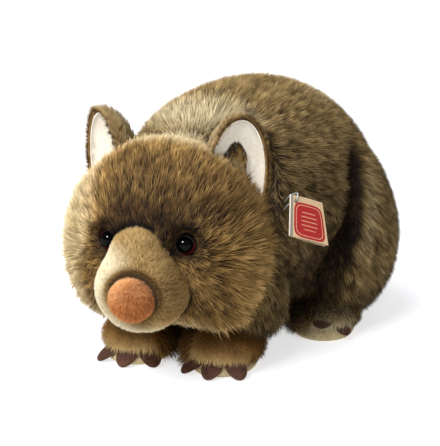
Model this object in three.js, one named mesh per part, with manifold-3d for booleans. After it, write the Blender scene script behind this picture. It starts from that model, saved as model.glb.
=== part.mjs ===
// A stuffed plush wombat that stands on four short legs, with its head turned a little to its left.
// Sizes are millimetres and include the pile, so every plush piece reaches to the tips of its fur.
// The animal faces -Y, its left side is +X, and its feet stand on z = 0.
import * as THREE from "three";
import { mergeVertices } from "three/addons/utils/BufferGeometryUtils.js";
import Module from "manifold-3d";

const wasm = await Module();
wasm.setup();

// Driving dimensions
const GAP = 0.3; // kept between pieces that are sewn face to face
const BODY_MIDDLE = [0, 44, 87];
const BODY_RADII = [66, 80, 75.5];
const RUMP_MIDDLE = [0, 81, 76];
const RUMP_RADII = [65.5, 62.5, 71.5];
const SHOULDER_MIDDLE = [-5, 4, 88];
const SHOULDER_RADII = [58, 46, 64];
const HEAD_MIDDLE = [-4, -46, 86];
const HEAD_RADII = [56, 48, 54];
const HEAD_YAW = 16; // degrees, towards the animal's left
const CHEEK_MIDDLE = [27, -4, -18];
const CHEEK_RADII = [28, 33, 36];
const MUZZLE_MIDDLE = [-1.4, -42, -25];
const MUZZLE_RADII = [27.5, 25, 24];
const BRIDGE_MIDDLE = [-3, -41, -1];
const BRIDGE_RADII = [14.5, 14.5, 13];
const NOSE_MIDDLE = [-2, -60, -26];
const NOSE_RADII = [14.2, 10.5, 13.6];
const EYE_PLACE = [22.3, -38.4, 1.6];
const EYE_SPLAY = 22; // degrees that each eye looks outwards
const EYE_RADIUS = 4.9;
const EYE_HEIGHT = 4.2;
const RIM_RADIUS = 5.9;
const RIM_HEIGHT = 1.6;
const FELT_RADIUS = 6.3;
const FELT_HEIGHT = 1.2;
const FELT_DROP = 1.3; // how far the felt shows below and outside the eye
const EAR_PLACE = [39, 10, 27];
const EAR_RADII = [21.5, 24, 42];
const EAR_HOLLOW = [16.5, 13, 35.5];
const EAR_FELT = 1.6;
const EAR_SPLAY = { left: 35, right: 42 }; // degrees that each ear opens outwards
const EAR_LEAN = 6; // degrees that its tip leans outwards
const HAUNCH_MIDDLE = [43, 87, 54];
const HAUNCH_RADII = [34, 50, 52];
const HIP_MIDDLE = [41, 74, 86];
const HIP_RADII = [30, 43, 42];
const FORELEG_MIDDLES = { left: [32, -8, 46], right: [-32, -14, 46] };
const FORELEG_RADII = [23, 24, 30];
const CUFF_DROP = 15; // how far the cuff's middle lies below the foreleg's
const CUFF_RADII = [21.5, 23, 18];
const FOREFEET = { left: [22.5, -24], right: [-32.5, -31] };
const FOREFOOT_TURN = 11; // degrees, both towards the animal's left
const HINDFEET = { left: [42, 65], right: [-42, 65] };
const HINDFOOT_TURN = 25; // degrees, outwards
const FOOT_RADII = [24, 24, 14.5];
const SOLE_RADII = [20, 24.5, 6];
const HIND_SOLE_RADII = [20.5, 24, 11];
const CLAW_LENGTH = 19;
const CLAW_WIDTH = 12;
const CLAW_THICKNESS = 3.4;
const CLAW_SPREAD = 38; // degrees between the claws of one foot
const FORE_DROOP = [25, 25, 25]; // degrees that a fore foot's claws point down, from the outer one
const HIND_DROOP = [30, 4, 4];
const TAIL_PLACE = [0, 145, 90];
const TAIL_RADII = [8.5, 12, 8];
const TAG_WIDTH = 24;
const TAG_HEIGHT = 25;
const TAG_LEAF = 0.7;
const TAG_OPEN = 5; // degrees between the two leaves of the folded card
const TAG_MIDDLE = [69.3, -10.7, 93];
const TAG_TURN = 70; // degrees that the card faces towards the animal's left
const TAG_RISE = 26; // degrees that it faces upwards
const TAG_ROLL = 22; // degrees that it hangs round its own face
const TAG_HOLE = [-8.5, 9]; // place of the loop's hole on the card
const TAG_HOLE_RADIUS = 1.3;
const LOOP_RADIUS = 0.5; // of the nylon loop that ties the card to the neck
const RUFF_LOCK = { length: 23, width: 15, thickness: 3.4, sunk: 2.2, rise: 4, bend: 3.4 };
const HEM_LOCK = { length: 15, width: 12, thickness: 3, sunk: 2.2, rise: 3.4, bend: 1 };
const RUFF_DROOP = 0.25; // how much the ruff's locks turn down from straight away from the face
const HEM_FLARE = 0.3; // how much a hem's locks stand out from straight down
const LOCK_KEPT = 0.8; // the least share of a lock that is left when it is cut clear of its neighbours
const LOCK_LEVEL = 5; // the lowest that a lock hangs above the floor

const SIDES = { left: 1, right: -1 };
const radians = THREE.MathUtils.degToRad;

// Cloth and trim
const CLOTH = {
  pile: 0x7d6340,
  muzzle: 0xc2ac7c,
  nose: 0xb57440,
  eyeFelt: 0x8a1f22,
  earFelt: 0xe9dac0,
  foot: 0x8a6536,
  sole: 0xd8cba2,
  suede: 0x5b3a30,
};

function cloth(name) {
  return new THREE.MeshStandardMaterial({ color: CLOTH[name], roughness: 1, metalness: 0 });
}

const glass = new THREE.MeshStandardMaterial({ color: 0x0a0a0c, roughness: 0.05, metalness: 0 });
const blackPlastic = new THREE.MeshStandardMaterial({ color: 0x14100e, roughness: 0.5, metalness: 0 });
const card = new THREE.MeshStandardMaterial({ color: 0xe2cfa6, roughness: 0.6, metalness: 0 });
const nylon = new THREE.MeshStandardMaterial({ color: 0xb9b9b4, roughness: 0.4, metalness: 0 });

// One ellipsoid of stuffing: its middle and its three radii.
function lobe(middle, radii) {
  return {
    middle: new THREE.Vector3(...middle),
    radii: new THREE.Vector3(...radii),
    least: Math.min(...radii),
  };
}

// How far a point is outside a lobe, roughly; negative inside.
function outside(one, point) {
  return (point.clone().sub(one.middle).divide(one.radii).length() - 1) * one.least;
}

// The lobes' common field. A larger blend fills the creases between them more.
function field(lobes, blend, point) {
  const values = lobes.map((one) => outside(one, point));
  const nearest = Math.min(...values);
  const sum = values.reduce((total, value) => total + Math.exp((nearest - value) / blend), 0);
  return nearest - blend * Math.log(sum);
}

// How far a ray from a middle runs before it last leaves the lobes.
function reachOf(from, ray, lobes, blend, grow) {
  const at = (t) => field(lobes, blend, from.clone().addScaledVector(ray, t)) - grow;
  const step = 3;
  let inner = 150;
  while (inner > 0 && at(inner) > 0) inner -= step;
  let outer = inner + step;
  for (let k = 0; k < 22; k++) {
    const half = (inner + outer) / 2;
    if (at(half) > 0) outer = half;
    else inner = half;
  }
  return inner;
}

// A closed skin over the lobes: each vertex of a ball runs out from the first lobe's middle.
function stuffed(lobes, { blend = 6, detail = 6, grow = 0 } = {}) {
  const ball = new THREE.IcosahedronGeometry(1, detail);
  ball.deleteAttribute("normal");
  ball.deleteAttribute("uv");
  const skin = mergeVertices(ball, 1e-5);
  const from = lobes[0].middle;
  const position = skin.getAttribute("position");
  const ray = new THREE.Vector3();
  for (let i = 0; i < position.count; i++) {
    ray.fromBufferAttribute(position, i).normalize();
    const end = from.clone().addScaledVector(ray, reachOf(from, ray, lobes, blend, grow));
    position.setXYZ(i, end.x, end.y, end.z);
  }
  return skin;
}

function solid(geometry) {
  const bare = geometry.clone();
  bare.deleteAttribute("normal");
  bare.deleteAttribute("uv");
  const merged = mergeVertices(bare, 1e-4);
  return new wasm.Manifold(
    new wasm.Mesh({
      numProp: 3,
      vertProperties: merged.attributes.position.array,
      triVerts: new Uint32Array(merged.index.array),
    }),
  );
}

// The largest closed body of a solid, as a geometry.
function geometryOf(made) {
  const bodies = made.decompose().sort((a, b) => b.volume() - a.volume());
  const mesh = bodies[0].getMesh();
  const points = new Float32Array(mesh.numVert * 3);
  for (let i = 0; i < mesh.numVert; i++) {
    points.set(mesh.vertProperties.subarray(i * mesh.numProp, i * mesh.numProp + 3), i * 3);
  }
  const shape = new THREE.BufferGeometry();
  shape.setAttribute("position", new THREE.BufferAttribute(points, 3));
  shape.setIndex(new THREE.BufferAttribute(new Uint32Array(mesh.triVerts), 1));
  return shape;
}

function join(geometry, ...others) {
  return geometryOf(others.reduce((all, other) => all.add(solid(other)), solid(geometry)));
}

function cut(geometry, ...cutters) {
  return geometryOf(cutters.reduce((left, cutter) => left.subtract(solid(cutter)), solid(geometry)));
}

function common(geometry, ...others) {
  return geometryOf(others.reduce((left, other) => left.intersect(solid(other)), solid(geometry)));
}

// A box of space above a level, or below it.
const SPACE = 600;
const above = (z) => new THREE.BoxGeometry(SPACE, SPACE, SPACE).translate(0, 0, z + SPACE / 2);
const below = (z) => new THREE.BoxGeometry(SPACE, SPACE, SPACE).translate(0, 0, z - SPACE / 2);

function node(name, geometry, material) {
  const mesh = new THREE.Mesh(geometry, material);
  mesh.name = name;
  return mesh;
}

function mirrored([x, y, z], side) {
  return [x * SIDES[side], y, z];
}

function place(position, ...turns) {
  return turns.reduce((all, turn) => all.multiply(turn), new THREE.Matrix4().makeTranslation(...position));
}

const turnX = (degrees) => new THREE.Matrix4().makeRotationX(radians(degrees));
const turnY = (degrees) => new THREE.Matrix4().makeRotationY(radians(degrees));
const turnZ = (degrees) => new THREE.Matrix4().makeRotationZ(radians(degrees));

const part = new THREE.Group();
const put = (name, geometry, material) => part.add(node(name, geometry, material));

// The large stuffed forms, as they are and grown by the gap that their neighbours keep
const headPlace = place(HEAD_MIDDLE, turnZ(HEAD_YAW));
const BODY = [
  lobe(BODY_MIDDLE, BODY_RADII),
  lobe(RUMP_MIDDLE, RUMP_RADII),
  lobe(SHOULDER_MIDDLE, SHOULDER_RADII),
];
const SKULL = [
  lobe([0, 0, 0], HEAD_RADII),
  ...Object.keys(SIDES).map((side) => lobe(mirrored(CHEEK_MIDDLE, side), CHEEK_RADII)),
];
const MUZZLE = [lobe(MUZZLE_MIDDLE, MUZZLE_RADII), lobe(BRIDGE_MIDDLE, BRIDGE_RADII)];
const NOSE = [lobe(NOSE_MIDDLE, NOSE_RADII)];

function haunchLobes(side) {
  return [lobe(mirrored(HAUNCH_MIDDLE, side), HAUNCH_RADII), lobe(mirrored(HIP_MIDDLE, side), HIP_RADII)];
}

function forelegLobes(side) {
  const [x, y, z] = FORELEG_MIDDLES[side];
  return [lobe([x, y, z], FORELEG_RADII), lobe([x, y, z - CUFF_DROP], CUFF_RADII)];
}

const bodyForm = (grow = 0) => stuffed(BODY, { blend: 8, detail: 6, grow });
const headForm = (grow = 0) => stuffed(SKULL, { blend: 5, detail: 5, grow }).applyMatrix4(headPlace);
const muzzleForm = (grow = 0) => stuffed(MUZZLE, { blend: 5, detail: 4, grow }).applyMatrix4(headPlace);
const noseForm = (grow = 0) => stuffed(NOSE, { detail: 3, grow }).applyMatrix4(headPlace);

const haunchForm = (side, grow = 0) => stuffed(haunchLobes(side), { detail: 4, grow });
const forelegForm = (side, grow = 0) => stuffed(forelegLobes(side), { blend: 3, detail: 4, grow });

// Locks: flat tapered clumps of the pile, which fringe the cheeks, the chin and the hems of the legs
let seed = 11;

// The next number of a seeded sequence, between two limits.
function draw(low, high) {
  const [factor, modulus] = [16807, 2147483647];
  seed = (seed * factor) % modulus;
  return low + ((high - low) * seed) / modulus;
}

// One lock lies along +Z with its flat side to Y. Its root is sunk, and it rises and then bends back.
function lockForm({ length, width, thickness, sunk, rise, bend }) {
  const size = draw(0.86, 1.14);
  const sway = draw(-3, 3);
  const blade = new THREE.ConeGeometry(1, 1, 4, 3);
  const position = blade.getAttribute("position");
  for (let i = 0; i < position.count; i++) {
    const along = position.getY(i) + 0.5;
    const fullness = 1 + 0.9 * along;
    const height = rise * Math.sin((along * Math.PI) / 2) - sunk - bend * along ** 2;
    position.setXYZ(
      i,
      (-position.getX(i) * fullness * width * size) / 2 + sway * along ** 2,
      (position.getZ(i) * fullness * thickness) / 2 + height,
      length * size * along,
    );
  }
  return blade;
}

// The outward direction of the lobes' surface at a point.
function outward(lobes, blend, point) {
  const step = 0.5;
  const slope = ["x", "y", "z"].map((axis) => {
    const ahead = point.clone();
    const back = point.clone();
    ahead[axis] += step;
    back[axis] -= step;
    return field(lobes, blend, ahead) - field(lobes, blend, back);
  });
  return new THREE.Vector3(...slope).normalize();
}

// Locks rooted where rays from the lobes' first middle come out, each lying along its own direction.
function locks(lobes, blend, sizes, rays) {
  return rays.map(({ ray, lie }) => {
    const from = lobes[0].middle;
    const root = from.clone().addScaledVector(ray, reachOf(from, ray, lobes, blend, 0));
    const up = outward(lobes, blend, root);
    const along = lie.clone().addScaledVector(up, -lie.dot(up)).normalize();
    const frame = new THREE.Matrix4().makeBasis(up.clone().cross(along), up, along);
    return lockForm(sizes).applyMatrix4(frame.setPosition(root));
  });
}

// The locks cut clear of their neighbours. One that would lose more than a little is left out.
function trimmed(blades, neighbours) {
  const cutters = neighbours.map(solid);
  return blades.flatMap((blade) => {
    const whole = solid(blade);
    const left = cutters.reduce((rest, cutter) => rest.subtract(cutter), whole);
    return left.volume() > whole.volume() * LOCK_KEPT ? [geometryOf(left)] : [];
  });
}

// Directions on a ball whose pole is -Y: how far from the pole, and which way round from +X, in degrees.
function around(fromPole, turn) {
  const [polar, round] = [radians(fromPole), radians(turn)];
  const ray = new THREE.Vector3(
    Math.sin(polar) * Math.cos(round),
    -Math.cos(polar),
    Math.sin(polar) * Math.sin(round),
  );
  const lie = new THREE.Vector3(
    Math.cos(polar) * Math.cos(round),
    Math.sin(polar),
    Math.cos(polar) * Math.sin(round) - RUFF_DROOP,
  );
  return { ray, lie };
}

// Steps from one number to another, both ends included.
function steps(from, to, count) {
  return Array.from({ length: count }, (_, i) => from + ((to - from) * i) / (count - 1));
}

// The ruff starts beside the muzzle and spreads over the cheeks and under the chin.
function ruffRays() {
  const tiers = [
    { fromPole: 70, shift: 0, count: 15 },
    { fromPole: 88, shift: 8, count: 16 },
    { fromPole: 104, shift: 0, count: 15 },
  ];
  return tiers.flatMap(({ fromPole, shift, count }) =>
    steps(-200 + shift, 20 + shift, count).map((turn) => around(fromPole + draw(-3, 3), turn + draw(-3, 3))),
  );
}

// A hem hangs from the low edge of a leg, between two turns about the leg's upright axis.
function hemRays(drop, from, to, count) {
  return steps(from, to, count).map((turn) => {
    const [level, round] = [radians(drop + draw(-4, 4)), radians(turn + draw(-3, 3))];
    const outwards = new THREE.Vector3(Math.cos(round), Math.sin(round), 0);
    return {
      ray: outwards.clone().multiplyScalar(Math.cos(level)).setZ(-Math.sin(level)),
      lie: outwards.multiplyScalar(HEM_FLARE).setZ(-1),
    };
  });
}

// Eyes: a domed glass button on a black rim, on a disc of felt, in a hollow of the pile
function button(radius, height, domed, depth) {
  const profile = [new THREE.Vector2(0, 0), new THREE.Vector2(radius, 0)];
  const rings = domed ? 4 : 1;
  for (let i = 1; i < rings; i++) {
    const angle = (i / rings) * (Math.PI / 2);
    profile.push(new THREE.Vector2(radius * Math.cos(angle), height * Math.sin(angle)));
  }
  if (!domed) profile.push(new THREE.Vector2(radius * 0.9, height));
  profile.push(new THREE.Vector2(0, height));
  return new THREE.LatheGeometry(profile, 14).translate(0, depth, 0).rotateX(Math.PI);
}

function eyePlace(side) {
  return headPlace.clone().multiply(place(mirrored(EYE_PLACE, side), turnZ(EYE_SPLAY * SIDES[side])));
}

const SOCKET_DEPTH = RIM_HEIGHT + FELT_HEIGHT + 3 * GAP;
const SOCKET_MOUTH = FELT_RADIUS + 3;

function socket(side) {
  const back = FELT_RADIUS + GAP + FELT_DROP;
  const profile = [
    new THREE.Vector2(0, -SOCKET_DEPTH),
    new THREE.Vector2(back, -SOCKET_DEPTH),
    new THREE.Vector2(SOCKET_MOUTH, EYE_HEIGHT * 3),
    new THREE.Vector2(0, EYE_HEIGHT * 3),
  ];
  return new THREE.LatheGeometry(profile, 16).rotateX(Math.PI).applyMatrix4(eyePlace(side));
}

// Ears: a plush cup with a felt lining
const behind = (y) => new THREE.BoxGeometry(SPACE, SPACE, SPACE).translate(0, y + SPACE / 2, 0);

function bowl(radii, grow = 0) {
  return new THREE.IcosahedronGeometry(1, 3).scale(...radii.map((radius) => radius + grow));
}

function earPlace(side) {
  const lean = turnY(EAR_LEAN * SIDES[side]);
  return headPlace.clone().multiply(place(mirrored(EAR_PLACE, side), lean, turnZ(EAR_SPLAY[side] * SIDES[side])));
}

const earForm = (side, grow) => bowl(EAR_RADII, grow).applyMatrix4(earPlace(side));

function earCup(side) {
  return cut(common(bowl(EAR_RADII), behind(-2)), bowl(EAR_HOLLOW)).applyMatrix4(earPlace(side));
}

function earLining(side) {
  const layer = cut(common(bowl(EAR_HOLLOW, -GAP), behind(-1)), bowl(EAR_HOLLOW, -GAP - EAR_FELT));
  return layer.applyMatrix4(earPlace(side));
}

// Feet: a short-pile upper, a flat-bottomed sole and three suede claws
const FOOT_UPPER = [
  lobe([0, 1, 13.5], FOOT_RADII),
  lobe([0, 8, 18], [18, 16, 15]),
];
const UPPER_CLEARANCE = 2.5; // between the floor and the pile of a foot

const FEET = Object.keys(SIDES).flatMap((side) => [
  {
    name: "fore",
    side,
    place: place([...FOREFEET[side], 0], turnZ(FOREFOOT_TURN)),
    sole: SOLE_RADII,
    clawLevel: 8.5,
    clawRoot: 16,
    droop: FORE_DROOP,
    leg: forelegForm(side, GAP),
  },
  {
    name: "hind",
    side,
    place: place([...HINDFEET[side], 0], turnZ(HINDFOOT_TURN * SIDES[side])),
    sole: HIND_SOLE_RADII,
    clawLevel: 13,
    clawRoot: 13,
    droop: HIND_DROOP,
    leg: haunchForm(side, GAP),
  },
]);

function upperForm(foot, grow = 0) {
  return stuffed(FOOT_UPPER, { blend: 3, detail: 3, grow }).applyMatrix4(foot.place);
}

function soleForm(foot, grow = 0) {
  const pad = stuffed([lobe([0, 0, foot.sole[2] * 0.45], foot.sole)], { detail: 2, grow });
  return common(pad, above(-grow)).applyMatrix4(foot.place);
}

// A claw of two suede leaves sewn round a little stuffing: its root is at the origin and it points to -Y.
function clawForm() {
  const outline = new THREE.Shape();
  outline.moveTo(-CLAW_WIDTH / 2, 0);
  outline.lineTo(CLAW_WIDTH / 2, 0);
  outline.quadraticCurveTo(CLAW_WIDTH * 0.45, CLAW_LENGTH * 0.6, CLAW_WIDTH * 0.2, CLAW_LENGTH * 0.93);
  outline.quadraticCurveTo(0, CLAW_LENGTH * 1.07, -CLAW_WIDTH * 0.2, CLAW_LENGTH * 0.93);
  outline.quadraticCurveTo(-CLAW_WIDTH * 0.45, CLAW_LENGTH * 0.6, -CLAW_WIDTH / 2, 0);
  const bevel = CLAW_THICKNESS * 0.35;
  const leaf = new THREE.ExtrudeGeometry(outline, {
    depth: CLAW_THICKNESS - 2 * bevel,
    bevelThickness: bevel,
    bevelSize: bevel,
    bevelOffset: -bevel,
    bevelSegments: 1,
    curveSegments: 2,
  });
  return leaf.translate(0, 0, bevel - CLAW_THICKNESS / 2).rotateZ(Math.PI);
}

function claws(foot) {
  return [1, 0, -1].map((step, i) => {
    const turn = step * CLAW_SPREAD * SIDES[foot.side];
    const direction = new THREE.Vector3(Math.sin(radians(turn)), -Math.cos(radians(turn)), 0);
    const root = direction.multiplyScalar(foot.clawRoot).setZ(foot.clawLevel);
    const local = place(root.toArray(), turnZ(turn), turnX(foot.droop[i]));
    return clawForm().applyMatrix4(foot.place.clone().multiply(local));
  });
}

for (const foot of FEET) {
  const rests = [foot.leg, bodyForm(GAP), headForm(GAP)];
  const upper = cut(upperForm(foot), soleForm(foot, GAP), below(UPPER_CLEARANCE), ...rests);
  put(`${foot.name}foot_${foot.side}`, upper, cloth("foot"));
  put(`${foot.name}sole_${foot.side}`, cut(soleForm(foot), ...rests), cloth("sole"));
  claws(foot).forEach((claw, i) => {
    const shape = cut(claw, upperForm(foot, GAP), soleForm(foot, GAP), below(0.4));
    put(`${foot.name}claw_${foot.side}_${i + 1}`, shape, cloth("suede"));
  });
}

// The body, its legs and the stub of a tail
const onBothSides = (form) => Object.keys(SIDES).map((side) => form(side, GAP));
const besideTorso = [haunchForm, forelegForm, earForm].flatMap(onBothSides);
put("torso", cut(bodyForm(), headForm(GAP), ...besideTorso), cloth("pile"));
for (const side of Object.keys(SIDES)) {
  const feet = FEET.filter((foot) => foot.side === side).map((foot) => upperForm(foot, GAP));
  const beside = [bodyForm(GAP), headForm(GAP), ...feet, below(LOCK_LEVEL)];
  const [from, to] = side === "left" ? [-50, 110] : [230, 70];
  const haunchHem = trimmed(locks(haunchLobes(side), 6, HEM_LOCK, hemRays(40, from, to, 9)), beside);
  const cuffHem = trimmed(locks(forelegLobes(side), 3, HEM_LOCK, hemRays(45, from, to, 7)), beside);
  put(`hindleg_${side}`, join(haunchForm(side), ...haunchHem), cloth("pile"));
  put(`foreleg_${side}`, join(cut(forelegForm(side), headForm(GAP)), ...cuffHem), cloth("pile"));
}
put("tail", cut(stuffed([lobe(TAIL_PLACE, TAIL_RADII)], { detail: 3 }), bodyForm(GAP)), cloth("pile"));

// The head and what is sewn to it
const sockets = Object.keys(SIDES).map(socket);
const forefeet = FEET.filter((foot) => foot.name === "fore").map((foot) => upperForm(foot, GAP));
const pairsBesideHead = [forelegForm, earForm].flatMap(onBothSides);
const besideHead = [bodyForm(GAP), muzzleForm(GAP), ...pairsBesideHead, ...forefeet];
const ruffLocks = locks(SKULL, 5, RUFF_LOCK, ruffRays()).map((blade) => blade.applyMatrix4(headPlace));
const ruffed = join(headForm(), ...trimmed(ruffLocks, besideHead));
put("head", cut(ruffed, muzzleForm(GAP), ...sockets), cloth("pile"));
put("muzzle", cut(muzzleForm(), noseForm(GAP), ...sockets), cloth("muzzle"));
put("nose", noseForm(), cloth("nose"));
for (const side of Object.keys(SIDES)) {
  put(`ear_${side}`, cut(earCup(side), headForm(GAP)), cloth("pile"));
  put(`ear_lining_${side}`, cut(earLining(side), headForm(GAP)), cloth("earFelt"));
  const at = eyePlace(side);
  const rimBack = -RIM_HEIGHT - GAP;
  const felt = button(FELT_RADIUS, FELT_HEIGHT, false, rimBack - GAP - FELT_HEIGHT);
  felt.translate(FELT_DROP * 0.7 * SIDES[side], 0, -FELT_DROP * 0.7);
  put(`eye_${side}`, button(EYE_RADIUS, EYE_HEIGHT, true, 0).applyMatrix4(at), glass);
  put(`eye_rim_${side}`, button(RIM_RADIUS, RIM_HEIGHT, false, rimBack).applyMatrix4(at), blackPlastic);
  put(`eye_felt_${side}`, felt.applyMatrix4(at), cloth("eyeFelt"));
}

// The swing tag: a folded card on a moulded nylon loop
const tagPlace = place(TAG_MIDDLE, turnZ(TAG_TURN), turnX(-TAG_RISE), turnY(TAG_ROLL));

function foldedCard() {
  const [far, open] = [TAG_WIDTH * Math.cos(radians(TAG_OPEN)), TAG_WIDTH * Math.sin(radians(TAG_OPEN))];
  const section = new THREE.Shape([
    new THREE.Vector2(0, TAG_LEAF),
    new THREE.Vector2(0, -TAG_LEAF),
    new THREE.Vector2(far, -open - TAG_LEAF),
    new THREE.Vector2(far, -open),
    new THREE.Vector2(TAG_LEAF, 0),
    new THREE.Vector2(TAG_WIDTH, 0),
    new THREE.Vector2(TAG_WIDTH, TAG_LEAF),
  ]);
  const leaves = new THREE.ExtrudeGeometry(section, { depth: TAG_HEIGHT, bevelEnabled: false });
  leaves.translate(-TAG_WIDTH / 2, 0, -TAG_HEIGHT / 2);
  const hole = new THREE.CylinderGeometry(TAG_HOLE_RADIUS, TAG_HOLE_RADIUS, 12, 12);
  return cut(leaves, hole.translate(TAG_HOLE[0], 0, TAG_HOLE[1]));
}

put("tag_card", foldedCard().applyMatrix4(tagPlace), card);

// The loop runs out of the pile, over the card's top edge and back through its hole.
function tagLoop() {
  const top = TAG_HEIGHT / 2;
  const route = new THREE.CatmullRomCurve3([
    new THREE.Vector3(TAG_HOLE[0] - 0.5, 7, TAG_HOLE[1]),
    new THREE.Vector3(TAG_HOLE[0], 0, TAG_HOLE[1]),
    new THREE.Vector3(TAG_HOLE[0], -3, TAG_HOLE[1] + 1.5),
    new THREE.Vector3(TAG_HOLE[0], -2.4, top + 2),
    new THREE.Vector3(TAG_HOLE[0] - 0.5, 7, top + 2.5),
  ]);
  const ring = new THREE.Shape();
  ring.absarc(0, 0, LOOP_RADIUS, 0, Math.PI * 2);
  return new THREE.ExtrudeGeometry(ring, {
    steps: 12,
    extrudePath: route,
    curveSegments: 4,
    bevelEnabled: false,
  });
}

put("tag_loop", cut(tagLoop().applyMatrix4(tagPlace), bodyForm(GAP)), nylon);

// The origin is on the floor, under the middle of the whole toy.
const extent = new THREE.Box3().setFromObject(part);
const middle = extent.getCenter(new THREE.Vector3());
part.position.set(-middle.x, -middle.y, -extent.min.z);

export default part;
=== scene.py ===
"""A stuffed plush wombat that stands on four short legs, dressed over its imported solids.

The animal faces -Y, its left side is +X and it stands on z = 0. Lengths in the forms' tables are
millimetres, as in the part's source, and every mesh is in metres.
"""

import logging
import math
from collections.abc import Callable, Sequence
from dataclasses import dataclass, field
from enum import Enum

import bpy
import numpy as np
from mathutils import Matrix, Vector, kdtree


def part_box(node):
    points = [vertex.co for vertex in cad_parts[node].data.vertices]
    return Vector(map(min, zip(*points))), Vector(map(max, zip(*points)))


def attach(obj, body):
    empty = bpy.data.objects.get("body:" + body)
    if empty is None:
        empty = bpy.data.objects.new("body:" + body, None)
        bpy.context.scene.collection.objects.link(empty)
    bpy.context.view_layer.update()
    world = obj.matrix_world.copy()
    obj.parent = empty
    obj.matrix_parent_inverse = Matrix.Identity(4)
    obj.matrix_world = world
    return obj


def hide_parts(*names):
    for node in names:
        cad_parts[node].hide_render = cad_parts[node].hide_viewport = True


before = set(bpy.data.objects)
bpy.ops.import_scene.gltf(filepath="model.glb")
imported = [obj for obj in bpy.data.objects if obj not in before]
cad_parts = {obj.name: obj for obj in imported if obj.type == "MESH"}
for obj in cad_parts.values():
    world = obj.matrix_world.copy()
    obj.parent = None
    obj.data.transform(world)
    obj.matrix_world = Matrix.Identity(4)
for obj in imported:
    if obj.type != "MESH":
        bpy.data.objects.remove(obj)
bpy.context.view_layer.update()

LOG = logging.getLogger("wombat")
MM = 0.001
SEED = 7
BODY = "root"
FLOOR_GAP = 0.0008
WAVE_COUNT, WAVE_HEIGHT = 6, 3.2

Array = np.ndarray
Stops = tuple[tuple[float, tuple[float, float, float]], ...]


class Side(Enum):
    """One side of the animal, with the sign of its X."""

    LEFT = 1
    RIGHT = -1

    @property
    def word(self) -> str:
        """The side's name, as in the names of the pieces."""
        return self.name.lower()


def turn(axis: str, degrees: float) -> Matrix:
    """A turn about one axis.

    Args:
        axis: "X", "Y" or "Z".
        degrees: how far.

    Returns:
        The matrix.
    """
    return Matrix.Rotation(math.radians(degrees), 4, axis)


def shift(place: Sequence[float]) -> Matrix:
    """A move by millimetres, as a matrix in metres."""
    return Matrix.Translation(Vector(place) * MM)


def ease(value: Array, low: float, high: float) -> Array:
    """A smooth step from 0 at low to 1 at high."""
    t = np.clip((value - low) / (high - low), 0.0, 1.0)
    return t * t * (3 - 2 * t)


def unit(vectors: Array) -> Array:
    """The vectors at length one."""
    return vectors / np.maximum(np.linalg.norm(vectors, axis=1, keepdims=True), 1e-12)


def tangent(vectors: Array, normals: Array) -> Array:
    """The vectors' direction along the surface with these normals."""
    return unit(vectors - normals * (vectors * normals).sum(1, keepdims=True))


def waves(points: Array, size: float, seed: int) -> Array:
    """A smooth seeded noise between about -1 and 1.

    Args:
        points: places in metres.
        size: the width of one patch, in metres.
        seed: which noise.

    Returns:
        One value for each point.
    """
    rng = np.random.default_rng(seed)
    total = np.zeros(len(points))
    for _ in range(WAVE_COUNT):
        direction = rng.normal(size=3)
        direction *= (2 * math.pi / size) * rng.uniform(0.5, 1.3) / np.linalg.norm(direction)
        total += np.sin(points @ direction + rng.uniform(0, 2 * math.pi))
    return total / WAVE_HEIGHT


# The forms, as in the part's source


@dataclass(frozen=True)
class Lobe:
    """One ellipsoid of stuffing, in millimetres."""

    middle: tuple[float, float, float]
    radii: tuple[float, float, float]

    def on(self, side: Side) -> "Lobe":
        """The same lobe on this side, from the one on the left."""
        x, y, z = self.middle
        return Lobe((x * side.value, y, z), self.radii)


class Form:
    """A soft union of lobes, at its place on the animal."""

    LEAST_SLOPE = 0.2

    def __init__(self, lobes: Sequence[Lobe], blend: float, place: Matrix) -> None:
        """Keeps the lobes as arrays.

        Args:
            lobes: the lobes, in the form's own frame.
            blend: how much the creases between them fill, in millimetres.
            place: from the form's own frame to the animal's.
        """
        self.middles = np.array([one.middle for one in lobes]) * MM
        self.radii = np.array([one.radii for one in lobes]) * MM
        self.least = self.radii.min(1)
        self.blend = blend * MM
        matrix = np.array(place)
        self.axes, self.origin = matrix[:3, :3], matrix[:3, 3]

    def local(self, points: Array) -> Array:
        """The points in the form's own frame."""
        return (points - self.origin) @ self.axes

    def world(self, points: Array) -> Array:
        """Points of the form's own frame in the animal's."""
        return points @ self.axes.T + self.origin

    def value(self, points: Array) -> Array:
        """How far outside the form each point is, roughly; negative inside."""
        place = self.local(points)[:, None, :]
        each = (np.linalg.norm((place - self.middles) / self.radii, axis=2) - 1) * self.least
        nearest = each.min(1)
        total = np.exp((nearest[:, None] - each) / self.blend).sum(1)
        return nearest - self.blend * np.log(total)

    def slope(self, points: Array) -> Array:
        """The gradient of the value."""
        step = 0.4 * MM
        parts = [
            self.value(points + step * axis) - self.value(points - step * axis)
            for axis in np.eye(3)
        ]
        return np.stack(parts, 1) / (2 * step)

    def distance(self, points: Array) -> Array:
        """The distance from the surface, to first order."""
        return self.value(points) / np.maximum(np.linalg.norm(self.slope(points), axis=1), self.LEAST_SLOPE)

    def reach(self, rays: Array) -> Array:
        """Where rays from the first lobe's middle last leave the form.

        Args:
            rays: unit directions in the form's own frame.

        Returns:
            The points, in the animal's frame.
        """
        start, far, step = self.middles[0], 0.15, 0.003
        inner = np.zeros(len(rays))
        for t in np.arange(0.0, far, step):
            inside = self.value(self.world(start + rays * t)) <= 0
            inner[inside] = t
        outer = inner + step
        for _ in range(16):
            half = (inner + outer) / 2
            out = self.value(self.world(start + rays * half[:, None])) > 0
            outer = np.where(out, half, outer)
            inner = np.where(out, inner, half)
        return self.world(start + rays * inner[:, None])


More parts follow.
